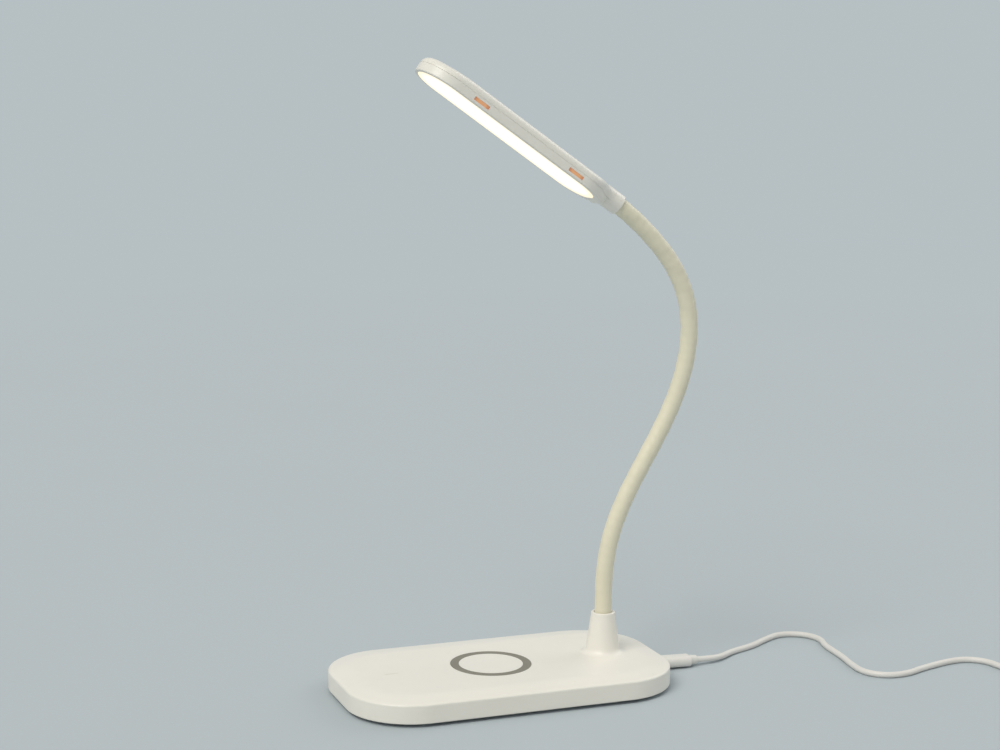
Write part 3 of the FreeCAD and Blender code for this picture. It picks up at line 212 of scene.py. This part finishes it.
line = [Vector(cord_start)] + [Vector(point) for point in cord_route]
here = line[-1] + Vector((0, -cord_diameter, 0))
inward = [coil_radius - coil_pitch / 2 * step for step in range(coil_half_turns)]
turns = [(radius, 0.0) for radius in inward]
turns += [(inward[-1] - coil_pitch / 2, coil_rise), (inward[-1] - coil_pitch / 4, 0.0)]
turns += [(radius, 0.0) for radius in reversed(inward[:-1])]
outset = 1 / math.cos(math.pi / 2 / points_in_half_turn)  # guiding points stand outside the arc
side = 1
for radius, rise in turns:
    across = Vector((2 * radius * side, 0, rise))
    middle = here + across / 2
    for step in range(points_in_half_turn):
        angle = math.pi * (step + 0.5) / points_in_half_turn
        bow = Vector((0, -side * across.length / 2 * math.sin(angle), 0))
        line.append(middle + outset * (bow - across / 2 * math.cos(angle)))
    here = here + across
    side = -side
leave = here + Vector((0, cord_diameter, 0))
line.append(leave)
line += [Vector((leave.x, leave.y + tail_reaches[0], leave.z)),
         Vector((leave.x, leave.y + tail_reaches[1], tail_height)),
         Vector((leave.x, leave.y + tail_reaches[2], tail_height))]

curve = bpy.data.curves.new("lead", "CURVE")
curve.dimensions = "3D"
spline = curve.splines.new("NURBS")
spline.points.add(len(line) - 1)
for point, place in zip(spline.points, line):
    point.co = (place.x, place.y, place.z, 1)
spline.order_u = 3
spline.use_endpoint_u = True
spline.use_smooth = True
curve.resolution_u = 10
curve.bevel_depth = cord_diameter / 2
curve.bevel_resolution = 7
curve.use_fill_caps = True
lead = bpy.data.objects.new("lead", curve)
bpy.context.collection.objects.link(lead)


def group_tree(name, inputs, outputs):
    """A new shader node group with its named sockets, returned with its two end nodes."""
    made = bpy.data.node_groups.new(name, "ShaderNodeTree")
    for label, kind, value in inputs:
        socket = made.interface.new_socket(name=label, in_out="INPUT", socket_type=kind)
        socket.default_value = value
    for label, kind in outputs:
        made.interface.new_socket(name=label, in_out="OUTPUT", socket_type=kind)
    return made, made.nodes.new("NodeGroupInput"), made.nodes.new("NodeGroupOutput")


# The skin of moulded plastic and rubber: a fine even grain, faint cloudy patches in tone and gloss,
# and a few scattered specks of dust that lie on whatever faces up.
patch_scale, speck_scale, drift_scale = 28.0, 420.0, 60.0
speck_edge, speck_heart = 0.16, 0.06
drift_edge, drift_heart = 0.5, 0.75
upward_from = 0.4
grain_share, film_share = 0.7, 0.35
dust_colour = (0.52, 0.50, 0.46, 1)
moulded_skin, given, out = group_tree(
    "moulded_skin",
    (("Colour", "NodeSocketColor", (0.8, 0.8, 0.8, 1)),
     ("Grain Size", "NodeSocketFloat", 2600.0),
     ("Patchiness", "NodeSocketFloat", 0.05),
     ("Dustiness", "NodeSocketFloat", 0.1)),
    (("Colour", "NodeSocketColor"), ("Gloss Change", "NodeSocketFloat"),
     ("Height", "NodeSocketFloat"), ("Dust", "NodeSocketFloat")))
where = add_node(moulded_skin, "ShaderNodeTexCoord")
grain = add_node(moulded_skin, "ShaderNodeTexNoise", {
    "Vector": where.outputs["Object"], "Scale": given.outputs["Grain Size"], "Detail": 3.0})
pits = add_node(moulded_skin, "ShaderNodeTexVoronoi", {
    "Vector": where.outputs["Object"], "Scale": given.outputs["Grain Size"]})
relief = add_node(moulded_skin, "ShaderNodeMath", {
    0: grain.outputs["Fac"], 1: grain_share, 2: pits.outputs["Distance"]},
    operation="MULTIPLY_ADD")
patches = add_node(moulded_skin, "ShaderNodeTexNoise", {
    "Vector": where.outputs["Object"], "Scale": patch_scale, "Detail": 4.0, "Roughness": 0.6})
centred = add_node(moulded_skin, "ShaderNodeMath", {
    0: patches.outputs["Fac"], 1: 0.5}, operation="SUBTRACT")
shift = add_node(moulded_skin, "ShaderNodeMath", {
    0: centred.outputs[0], 1: given.outputs["Patchiness"]}, operation="MULTIPLY")
bright = add_node(moulded_skin, "ShaderNodeMath", {0: shift.outputs[0], 1: 1.0}, operation="ADD")
toned = add_node(moulded_skin, "ShaderNodeVectorMath", {
    0: given.outputs["Colour"], "Scale": bright.outputs[0]}, operation="SCALE")
lift = add_node(moulded_skin, "ShaderNodeSeparateXYZ", {"Vector": where.outputs["Normal"]})
flat = add_node(moulded_skin, "ShaderNodeMapRange", {
    "Value": lift.outputs["Z"], "From Min": upward_from, "From Max": 1.0})
specks = add_node(moulded_skin, "ShaderNodeTexVoronoi", {
    "Vector": where.outputs["Object"], "Scale": speck_scale}, feature="F1")
speck = add_node(moulded_skin, "ShaderNodeMapRange", {
    "Value": specks.outputs["Distance"], "From Min": speck_edge, "From Max": speck_heart})
drift = add_node(moulded_skin, "ShaderNodeTexNoise", {
    "Vector": where.outputs["Object"], "Scale": drift_scale, "Detail": 5.0})
thick = add_node(moulded_skin, "ShaderNodeMapRange", {
    "Value": drift.outputs["Fac"], "From Min": drift_edge, "From Max": drift_heart})
lying = add_node(moulded_skin, "ShaderNodeMath", {
    0: speck.outputs[0], 1: thick.outputs[0]}, operation="MULTIPLY")
film = add_node(moulded_skin, "ShaderNodeMath", {
    0: thick.outputs[0], 1: film_share, 2: lying.outputs[0]}, operation="MULTIPLY_ADD")
settled = add_node(moulded_skin, "ShaderNodeMath", {
    0: film.outputs[0], 1: flat.outputs[0]}, operation="MULTIPLY")
dust = add_node(moulded_skin, "ShaderNodeMath", {
    0: settled.outputs[0], 1: given.outputs["Dustiness"]}, operation="MULTIPLY")
dusted = add_node(moulded_skin, "ShaderNodeMix", {
    "Factor": dust.outputs[0], "A": toned.outputs[0], "B": dust_colour}, data_type="RGBA")
moulded_skin.links.new(dusted.outputs["Result"], out.inputs["Colour"])
moulded_skin.links.new(centred.outputs[0], out.inputs["Gloss Change"])
moulded_skin.links.new(relief.outputs[0], out.inputs["Height"])
moulded_skin.links.new(dust.outputs[0], out.inputs["Dust"])


patch_gloss, dust_dulling = 0.12, 0.4  # how much patches and dust change the gloss


def moulded_finish(name, colour, roughness, grain=2600.0, depth=0.00002, patchiness=0.05,
                   dustiness=0.1, extras=()):
    """A plastic or rubber material with the moulded skin; extras set more of its shader."""
    made, tree, shader = finish_material(name, roughness)
    for label, value in dict(extras).items():
        shader.inputs[label].default_value = value
    skin = add_node(tree, "ShaderNodeGroup", {
        "Colour": colour, "Grain Size": grain, "Patchiness": patchiness,
        "Dustiness": dustiness}, node_tree=moulded_skin)
    tree.links.new(skin.outputs["Colour"], shader.inputs["Base Color"])
    change = add_node(tree, "ShaderNodeMath", {
        0: skin.outputs["Gloss Change"], 1: patch_gloss, 2: roughness}, operation="MULTIPLY_ADD")
    dulled = add_node(tree, "ShaderNodeMath", {
        0: skin.outputs["Dust"], 1: dust_dulling, 2: change.outputs[0]}, operation="MULTIPLY_ADD")
    tree.links.new(dulled.outputs[0], shader.inputs["Roughness"])
    bump = add_node(tree, "ShaderNodeBump", {"Height": skin.outputs["Height"], "Distance": depth})
    tree.links.new(bump.outputs["Normal"], shader.inputs["Normal"])
    return made


def dress(finish, slot_name, *names):
    """Give pieces that come from the frame their finish in every material slot they have; slot_name
    is not used.
    """
    for name in names:
        for holder in nodes[name].material_slots:
            holder.material = finish


jacket = moulded_finish("white_jacket", jacket_colour, roughness=0.42, grain=1500.0,
                        patchiness=0.08, dustiness=0.25)
lead.data.materials.append(jacket)
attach(lead, "base")
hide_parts("cord_free", "cord_coil", "cord_tail")
dress(jacket, "cord_white", "usb_plug_relief", "end_plug_relief")


# Plugs. Each has a soft grip moulded in a slightly lighter white over a shell of drawn and plated
# steel. The inlet in the base's end wall is drawn and plated in the same way.

grip_colour = (0.74, 0.73, 0.69, 1)
plating_dark, plating_light = (0.62, 0.62, 0.63, 1), (0.74, 0.74, 0.73, 1)
plating_smooth, plating_rough = 0.18, 0.36
draw_lines = (60.0, 900.0, 900.0)  # long and fine, along the way the shell was drawn

grip_finish = moulded_finish("plug_grip", grip_colour, roughness=0.38, grain=2200.0,
                             dustiness=0.15)
dress(grip_finish, "plug_white", "usb_plug_grip", "end_plug_grip")

plated, tree, shader = finish_material("plated_shell", roughness=0.24, metallic=1.0)
where = add_node(tree, "ShaderNodeTexCoord")
stretched = add_node(tree, "ShaderNodeMapping", {
    "Vector": where.outputs["Object"], "Scale": draw_lines})
drawn = add_node(tree, "ShaderNodeTexNoise", {
    "Vector": stretched.outputs[0], "Scale": 1.0, "Detail": 3.0})
shade = add_node(tree, "ShaderNodeMix", {
    "Factor": drawn.outputs["Fac"], "A": plating_dark, "B": plating_light}, data_type="RGBA")
rough = add_node(tree, "ShaderNodeMapRange", {
    "Value": drawn.outputs["Fac"], "To Min": plating_smooth, "To Max": plating_rough})
tree.links.new(shade.outputs["Result"], shader.inputs["Base Color"])
tree.links.new(rough.outputs[0], shader.inputs["Roughness"])
dress(plated, "plug_steel", "usb_plug_shell", "end_plug_shell", "usb_inlet")


# Strap. A short band of hook-and-loop cloth, woven from pale grey yarn, goes round the coil's turns
# and holds them together.

yarn_scale, yarn_waver, yarn_depth = 320.0, 1.5, 0.0001
yarn_dark, yarn_light = (0.42, 0.42, 0.41, 1), (0.64, 0.64, 0.63, 1)

strap, tree, shader = finish_material("woven_strap", roughness=0.92, specular=0.2)
where = add_node(tree, "ShaderNodeTexCoord")
warp, weft = (add_node(tree, "ShaderNodeTexWave", {
    "Vector": where.outputs["Object"], "Scale": yarn_scale, "Distortion": yarn_waver},
    bands_direction=way) for way in ("X", "DIAGONAL"))
cloth = add_node(tree, "ShaderNodeMath", {
    0: warp.outputs["Fac"], 1: weft.outputs["Fac"]}, operation="MULTIPLY")
shade = add_node(tree, "ShaderNodeMix", {
    "Factor": cloth.outputs[0], "A": yarn_dark, "B": yarn_light}, data_type="RGBA")
tree.links.new(shade.outputs["Result"], shader.inputs["Base Color"])
bump = add_node(tree, "ShaderNodeBump", {"Height": cloth.outputs[0], "Distance": yarn_depth})
tree.links.new(bump.outputs["Normal"], shader.inputs["Normal"])
dress(strap, "tie_white", "coil_tie")


# Base. A white moulded shell, satin, over a screwless floor plate of the same plastic with a
# coarser skin. Five rubber feet hold it off the table.

housing_colour = (0.83, 0.81, 0.74, 1)
floor_colour = (0.73, 0.72, 0.69, 1)
rubber_colour = (0.32, 0.32, 0.31, 1)
foot_count = 5

housing = moulded_finish("white_housing", housing_colour, roughness=0.36, depth=0.000012,
                         dustiness=0.12, extras={"Coat Weight": 0.12, "Coat Roughness": 0.3})
dress(housing, "white_housing", "base_top_cover")
floor_finish = moulded_finish("floor_plate", floor_colour, roughness=0.6, grain=1400.0,
                              depth=0.00006, dustiness=0.0)
dress(floor_finish, "white_floor", "base_bottom_cover")
rubber = moulded_finish("foot_rubber", rubber_colour, roughness=0.8, grain=1800.0,
                        depth=0.00005, patchiness=0.15, dustiness=0.0)
dress(rubber, "foot_rubber", *("rubber_foot_%d" % (k + 1) for k in range(foot_count)))


# Ring and touch mark. Two thin inlays of matt plastic lie flush in the top: a warm grey ring over
# the charging coil and a small pale mark that senses a finger.

ring_colour = (0.225, 0.212, 0.172, 1)
mark_colour = (0.765, 0.735, 0.66, 1)

ring_finish = moulded_finish("ring_inlay", ring_colour, roughness=0.55, grain=2200.0,
                             depth=0.00003, dustiness=0.2)
dress(ring_finish, "ring_grey", "charging_ring")
mark_finish = moulded_finish("touch_mark", mark_colour, roughness=0.45, grain=2200.0,
                             depth=0.00003)
dress(mark_finish, "key_grey", "touch_key")


# Neck. A wound steel tube bends anywhere along its length and holds its place by friction. A smooth
# ivory sleeve of soft rubber covers it, from inside the socket to inside the head's collar.

section_length, sleeve_radius = 0.021, 0.005
neck_foot = Vector((0.06305, 0, 0.051))
sleeve_start = 0.027  # how far below the neck's foot the sleeve begins
bends = (9.3, 11.7, 7.7, 1.7, -3.3, -7.8, -11.3, -15.1, -19.3, -14.7, -7.1, -7.4)
joint_count = len(bends)
sides_round, rings_in_half = 40, 14
skin_inset = 0.0001  # how far the drawn skin lies inside the sleeve's own radius
oval_depth, oval_turn = 0.00006, 0.35
swell_depth, swell_turn = 0.00004, 0.9
bend_starts, bend_ends = 0.55, 0.45  # as shares of the sections below and above a joint
root_bend_depth = 0.0095  # how far below the neck's foot the lowest bend starts
joints_from_head = (4, 10)  # joints singled out below, though both branches bake the piece alike
sleeve_colour = (0.76, 0.725, 0.56, 1)
wire_scale, wire_waver, wire_depth = 220.0, 0.6, 0.0002
wire_dark, wire_light = (0.28, 0.28, 0.28, 1), (0.52, 0.52, 0.51, 1)


def neck_point(joint, share):
    """Centre and heading at a share of the section that follows a joint."""
    place, heading = neck_foot.copy(), 0.0
    for step in range(joint + 1):
        bend = math.radians(bends[step])
        radius = section_length / bend
        if step == joint:
            bend *= share
        place += Vector((radius * (math.cos(heading) - math.cos(heading + bend)), 0,
                         radius * (math.sin(heading + bend) - math.sin(heading))))
        heading += bend
    return place, heading


def sleeve_ring(centre, heading, number):
    """Points round the sleeve, with the faint unevenness of a pulled-on rubber skin."""
    across = Vector((math.cos(heading), 0, -math.sin(heading)))
    points = []
    for step in range(sides_round):
        angle = 2 * math.pi * step / sides_round
        uneven = (oval_depth * math.sin(2 * angle + number * oval_turn)
                  + swell_depth * math.sin(number * swell_turn))
        way = across * math.cos(angle) + Vector((0, 1, 0)) * math.sin(angle)
        points.append(centre + way * (sleeve_radius - skin_inset + uneven))
    return points


sleeve_finish = moulded_finish(
    "ivory_sleeve", sleeve_colour, roughness=0.46, grain=1700.0, depth=0.00003, patchiness=0.10,
    dustiness=0.15, extras={"Sheen Weight": 0.15, "Sheen Roughness": 0.4})
for joint in range(joint_count):
    uppermost = joint == joint_count - 1
    if joint == 0:
        count = 2 * rings_in_half
        stations = [(neck_foot - Vector((0, 0, sleeve_start * (1 - i / count))), 0.0)
                    for i in range(count)]
        first = -count
    else:
        stations = [neck_point(joint - 1, 0.5 + 0.5 * i / rings_in_half)
                    for i in range(rings_in_half)]
        first = (2 * joint - 1) * rings_in_half
    reach = 1.0 if uppermost else 0.5
    count = int(rings_in_half * reach * 2)
    stations += [neck_point(joint, reach * i / count) for i in range(count + 1)]
    points = []
    for number, (centre, heading) in enumerate(stations):
        points += sleeve_ring(centre, heading, first + number)
    faces = []
    for row in range(len(stations) - 1):
        low, high = row * sides_round, (row + 1) * sides_round
        faces += [(high + i, high + (i + 1) % sides_round, low + (i + 1) % sides_round, low + i)
                  for i in range(sides_round)]
    piece = place_mesh("neck_skin_%02d" % (joint + 1), points, faces)
    piece.data.materials.append(sleeve_finish)
    if joint == 0:
        before = neck_foot - Vector((0, 0, root_bend_depth))
    else:
        before = neck_point(joint - 1, bend_starts)[0]
    after = neck_point(joint, bend_ends)[0]
    if joint + 1 in joints_from_head:
        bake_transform(piece)
    else:
        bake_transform(piece)
    covered = ["neck_sleeve_%02d" % joint if joint else "neck_sleeve_root"]
    if uppermost:
        covered.append("neck_sleeve_%02d" % joint_count)
    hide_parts(*covered)

wound, tree, shader = finish_material("wound_steel", roughness=0.4, metallic=1.0)
where = add_node(tree, "ShaderNodeTexCoord")
turned = add_node(tree, "ShaderNodeTexWave", {
    "Vector": where.outputs["Object"], "Scale": wire_scale, "Distortion": wire_waver},
    bands_direction="Z")
shade = add_node(tree, "ShaderNodeMix", {
    "Factor": turned.outputs["Fac"], "A": wire_dark, "B": wire_light}, data_type="RGBA")
tree.links.new(shade.outputs["Result"], shader.inputs["Base Color"])
bump = add_node(tree, "ShaderNodeBump", {"Height": turned.outputs["Fac"], "Distance": wire_depth})
tree.links.new(bump.outputs["Normal"], shader.inputs["Normal"])
dress(wound, "neck_steel", "neck_core_root",
      *("neck_core_%02d" % (k + 1) for k in range(joint_count)))


# Head. A slim two-part shell in the same white as the base: a crowned cover drawn down into a round
# collar, and a lower frame with two narrow slots in each side.

dress(housing, "white_housing", "head_top_cover", "head_lower_frame")


# Light. An opal plate fills the frame's opening and glows evenly, a little warmer towards its rim.
# Clear tongues behind the side slots get a painted amber glow, both as their colour and as
# emission, and painted shade darkens each slot's ends. Small emitters behind the plate have a
# yellow phosphor face.

collar_mouth = Vector((0.0672612, 0, 0.2715061))
head_heading = math.radians(-55.6)
along = Vector((math.sin(head_heading), 0, math.cos(head_heading)))
glow_rear, glow_front, glow_half = 0.034, 0.120, 0.0169
rim_from = 0.66  # share of the half width where the warmer rim begins
opal_pale, opal_milky = (1.0, 0.975, 0.92, 1), (1.0, 0.965, 0.89, 1)
opal_rim = (1.0, 0.86, 0.62, 1)
opal_share, opal_strength = 0.4, 0.92

opal, tree, shader = finish_material("opal_plate", roughness=0.5)
where = add_node(tree, "ShaderNodeTexCoord")
offset = add_node(tree, "ShaderNodeVectorMath", {
    0: where.outputs["Object"],
    1: tuple(collar_mouth + along * (glow_rear + glow_front) / 2)}, operation="SUBTRACT")
lengthwise = add_node(tree, "ShaderNodeVectorMath", {
    0: offset.outputs[0], 1: tuple(along)}, operation="DOT_PRODUCT")
crosswise = add_node(tree, "ShaderNodeSeparateXYZ", {"Vector": offset.outputs[0]})
ends = add_node(tree, "ShaderNodeMath", {0: lengthwise.outputs["Value"]}, operation="ABSOLUTE")
past = add_node(tree, "ShaderNodeMath", {
    0: ends.outputs[0], 1: (glow_front - glow_rear) / 2}, operation="SUBTRACT")
bare = add_node(tree, "ShaderNodeMath", {0: past.outputs[0], 1: 0.0}, operation="MAXIMUM")
squared = add_node(tree, "ShaderNodeMath", {0: bare.outputs[0], 1: 2.0}, operation="POWER")
width = add_node(tree, "ShaderNodeMath", {
    0: crosswise.outputs["Y"], 1: crosswise.outputs["Y"], 2: squared.outputs[0]},
    operation="MULTIPLY_ADD")
distance = add_node(tree, "ShaderNodeMath", {0: width.outputs[0]}, operation="SQRT")
rimward = add_node(tree, "ShaderNodeMapRange", {
    "Value": distance.outputs[0], "From Min": rim_from * glow_half, "From Max": glow_half},
    interpolation_type="SMOOTHSTEP")
milky = add_node(tree, "ShaderNodeTexNoise", {
    "Vector": where.outputs["Object"], "Scale": 90.0, "Detail": 2.0})
core = add_node(tree, "ShaderNodeMix", {
    "Factor": milky.outputs["Fac"], "A": opal_pale, "B": opal_milky}, data_type="RGBA")
glow = add_node(tree, "ShaderNodeMix", {
    "Factor": rimward.outputs[0], "A": core.outputs["Result"], "B": opal_rim}, data_type="RGBA")
tree.links.new(glow.outputs["Result"], shader.inputs["Emission Color"])
unlit = add_node(tree, "ShaderNodeVectorMath", {
    0: glow.outputs["Result"], "Scale": opal_share}, operation="SCALE")
tree.links.new(unlit.outputs[0], shader.inputs["Base Color"])
shader.inputs["Emission Strength"].default_value = opal_strength
dress(opal, "diffuser", "head_diffuser")

# The tongues' amber is painted light: a painted glow set as both base colour and emission, with
# painted shade darkening each slot's ends.
slot_middle, slot_spacing, slot_half = 0.07145, 0.0663, 0.005
painted_shade_from = 0.45  # share of a slot's half length where the painted shade at its ends begins
painted_glow_deep, painted_glow_pale = (0.48, 0.22, 0.095, 1), (0.56, 0.29, 0.145, 1)
painted_shade_end = (0.40, 0.16, 0.08, 1)
painted_glow_strength = 0.6

painted_glow_tongue, tree, shader = finish_material("tongue_painted_glow", roughness=0.35)
where = add_node(tree, "ShaderNodeTexCoord")
offset = add_node(tree, "ShaderNodeVectorMath", {
    0: where.outputs["Object"], 1: tuple(collar_mouth + along * slot_middle)}, operation="SUBTRACT")
lengthwise = add_node(tree, "ShaderNodeVectorMath", {
    0: offset.outputs[0], 1: tuple(along)}, operation="DOT_PRODUCT")
apart = add_node(tree, "ShaderNodeMath", {0: lengthwise.outputs["Value"]}, operation="ABSOLUTE")
beside = add_node(tree, "ShaderNodeMath", {
    0: apart.outputs[0], 1: slot_spacing / 2}, operation="SUBTRACT")
reached = add_node(tree, "ShaderNodeMath", {0: beside.outputs[0]}, operation="ABSOLUTE")
painted_end_shade = add_node(tree, "ShaderNodeMapRange", {
    "Value": reached.outputs[0], "From Min": painted_shade_from * slot_half, "From Max": slot_half},
    interpolation_type="SMOOTHSTEP")
streak = add_node(tree, "ShaderNodeTexNoise", {
    "Vector": where.outputs["Object"], "Scale": 420.0, "Detail": 2.0})
lit = add_node(tree, "ShaderNodeMix", {
    "Factor": streak.outputs["Fac"], "A": painted_glow_deep, "B": painted_glow_pale}, data_type="RGBA")
# Painted shade: the painted glow darkens towards each slot's ends.
shade = add_node(tree, "ShaderNodeMix", {
    "Factor": painted_end_shade.outputs[0], "A": lit.outputs["Result"], "B": painted_shade_end}, data_type="RGBA")
tree.links.new(shade.outputs["Result"], shader.inputs["Base Color"])
tree.links.new(shade.outputs["Result"], shader.inputs["Emission Color"])
shader.inputs["Emission Strength"].default_value = painted_glow_strength
dress(painted_glow_tongue, "amber_light", "head_slot_tongues")

phosphor_deep, phosphor_pale = (1.0, 0.88, 0.45, 1), (1.0, 0.95, 0.70, 1)
phosphor_strength = 1.0

emitter, tree, shader = finish_material("light_emitter", roughness=0.4)
where = add_node(tree, "ShaderNodeTexCoord")
phosphor = add_node(tree, "ShaderNodeTexNoise", {
    "Vector": where.outputs["Object"], "Scale": 900.0, "Detail": 2.0})
shade = add_node(tree, "ShaderNodeMix", {
    "Factor": phosphor.outputs["Fac"], "A": phosphor_deep, "B": phosphor_pale},
    data_type="RGBA")
tree.links.new(shade.outputs["Result"], shader.inputs["Base Color"])
tree.links.new(shade.outputs["Result"], shader.inputs["Emission Color"])
shader.inputs["Emission Strength"].default_value = phosphor_strength
dress(emitter, "emitter", "head_leds")


# Inside. Two circuit boards, a copper coil with its ferrite plate, a steel ballast plate and the
# neck's plated fittings are fixed out of sight in the two housings.

smoother, rougher = 0.08, 0.1  # how far the gloss wanders below and above its mean
speckle_depth = 0.00004


def speckled(name, dark, light, scale, roughness, metallic=0.0, stretch=(1, 1, 1)):
    """A finish that wanders between two tones."""
    made, tree, shader = finish_material(name, roughness, metallic=metallic)
    where = add_node(tree, "ShaderNodeTexCoord")
    pulled = add_node(tree, "ShaderNodeMapping", {
        "Vector": where.outputs["Object"], "Scale": stretch})
    spots = add_node(tree, "ShaderNodeTexNoise", {
        "Vector": pulled.outputs[0], "Scale": scale, "Detail": 4.0})
    shade = add_node(tree, "ShaderNodeMix", {
        "Factor": spots.outputs["Fac"], "A": dark, "B": light}, data_type="RGBA")
    rough = add_node(tree, "ShaderNodeMapRange", {
        "Value": spots.outputs["Fac"], "To Min": roughness - smoother,
        "To Max": roughness + rougher})
    tree.links.new(shade.outputs["Result"], shader.inputs["Base Color"])
    tree.links.new(rough.outputs[0], shader.inputs["Roughness"])
    bump = add_node(tree, "ShaderNodeBump", {
        "Height": spots.outputs["Fac"], "Distance": speckle_depth})
    tree.links.new(bump.outputs["Normal"], shader.inputs["Normal"])
    return made


green_board = speckled("green_board", dark=(0.02, 0.16, 0.07, 1), light=(0.04, 0.24, 0.11, 1),
                       scale=400.0, roughness=0.35)
dress(green_board, "board_green", "circuit_board")
white_board = speckled("white_board", dark=(0.70, 0.71, 0.69, 1), light=(0.80, 0.80, 0.78, 1),
                       scale=300.0, roughness=0.45)
dress(white_board, "board_white", "head_light_board")
copper = speckled("enamelled_copper", dark=(0.42, 0.16, 0.06, 1), light=(0.66, 0.30, 0.13, 1),
                  scale=700.0, roughness=0.32, metallic=0.9)
dress(copper, "coil_copper", "charging_coil")
ferrite = speckled("ferrite", dark=(0.03, 0.03, 0.035, 1), light=(0.07, 0.07, 0.075, 1),
                   scale=500.0, roughness=0.7)
dress(ferrite, "ferrite", "ferrite_plate")
cut_plate = speckled("cut_plate", dark=(0.30, 0.30, 0.31, 1), light=(0.44, 0.44, 0.44, 1),
                     scale=120.0, roughness=0.45, metallic=0.9, stretch=(1, 12, 1))
dress(cut_plate, "ballast_steel", "ballast_plate")
plated_fitting = speckled("plated_fitting", dark=(0.50, 0.50, 0.51, 1),
                          light=(0.64, 0.64, 0.64, 1), scale=260.0, roughness=0.35, metallic=0.9)
dress(plated_fitting, "zinc_fitting", "neck_ferrule", "neck_nut", "head_ferrule")
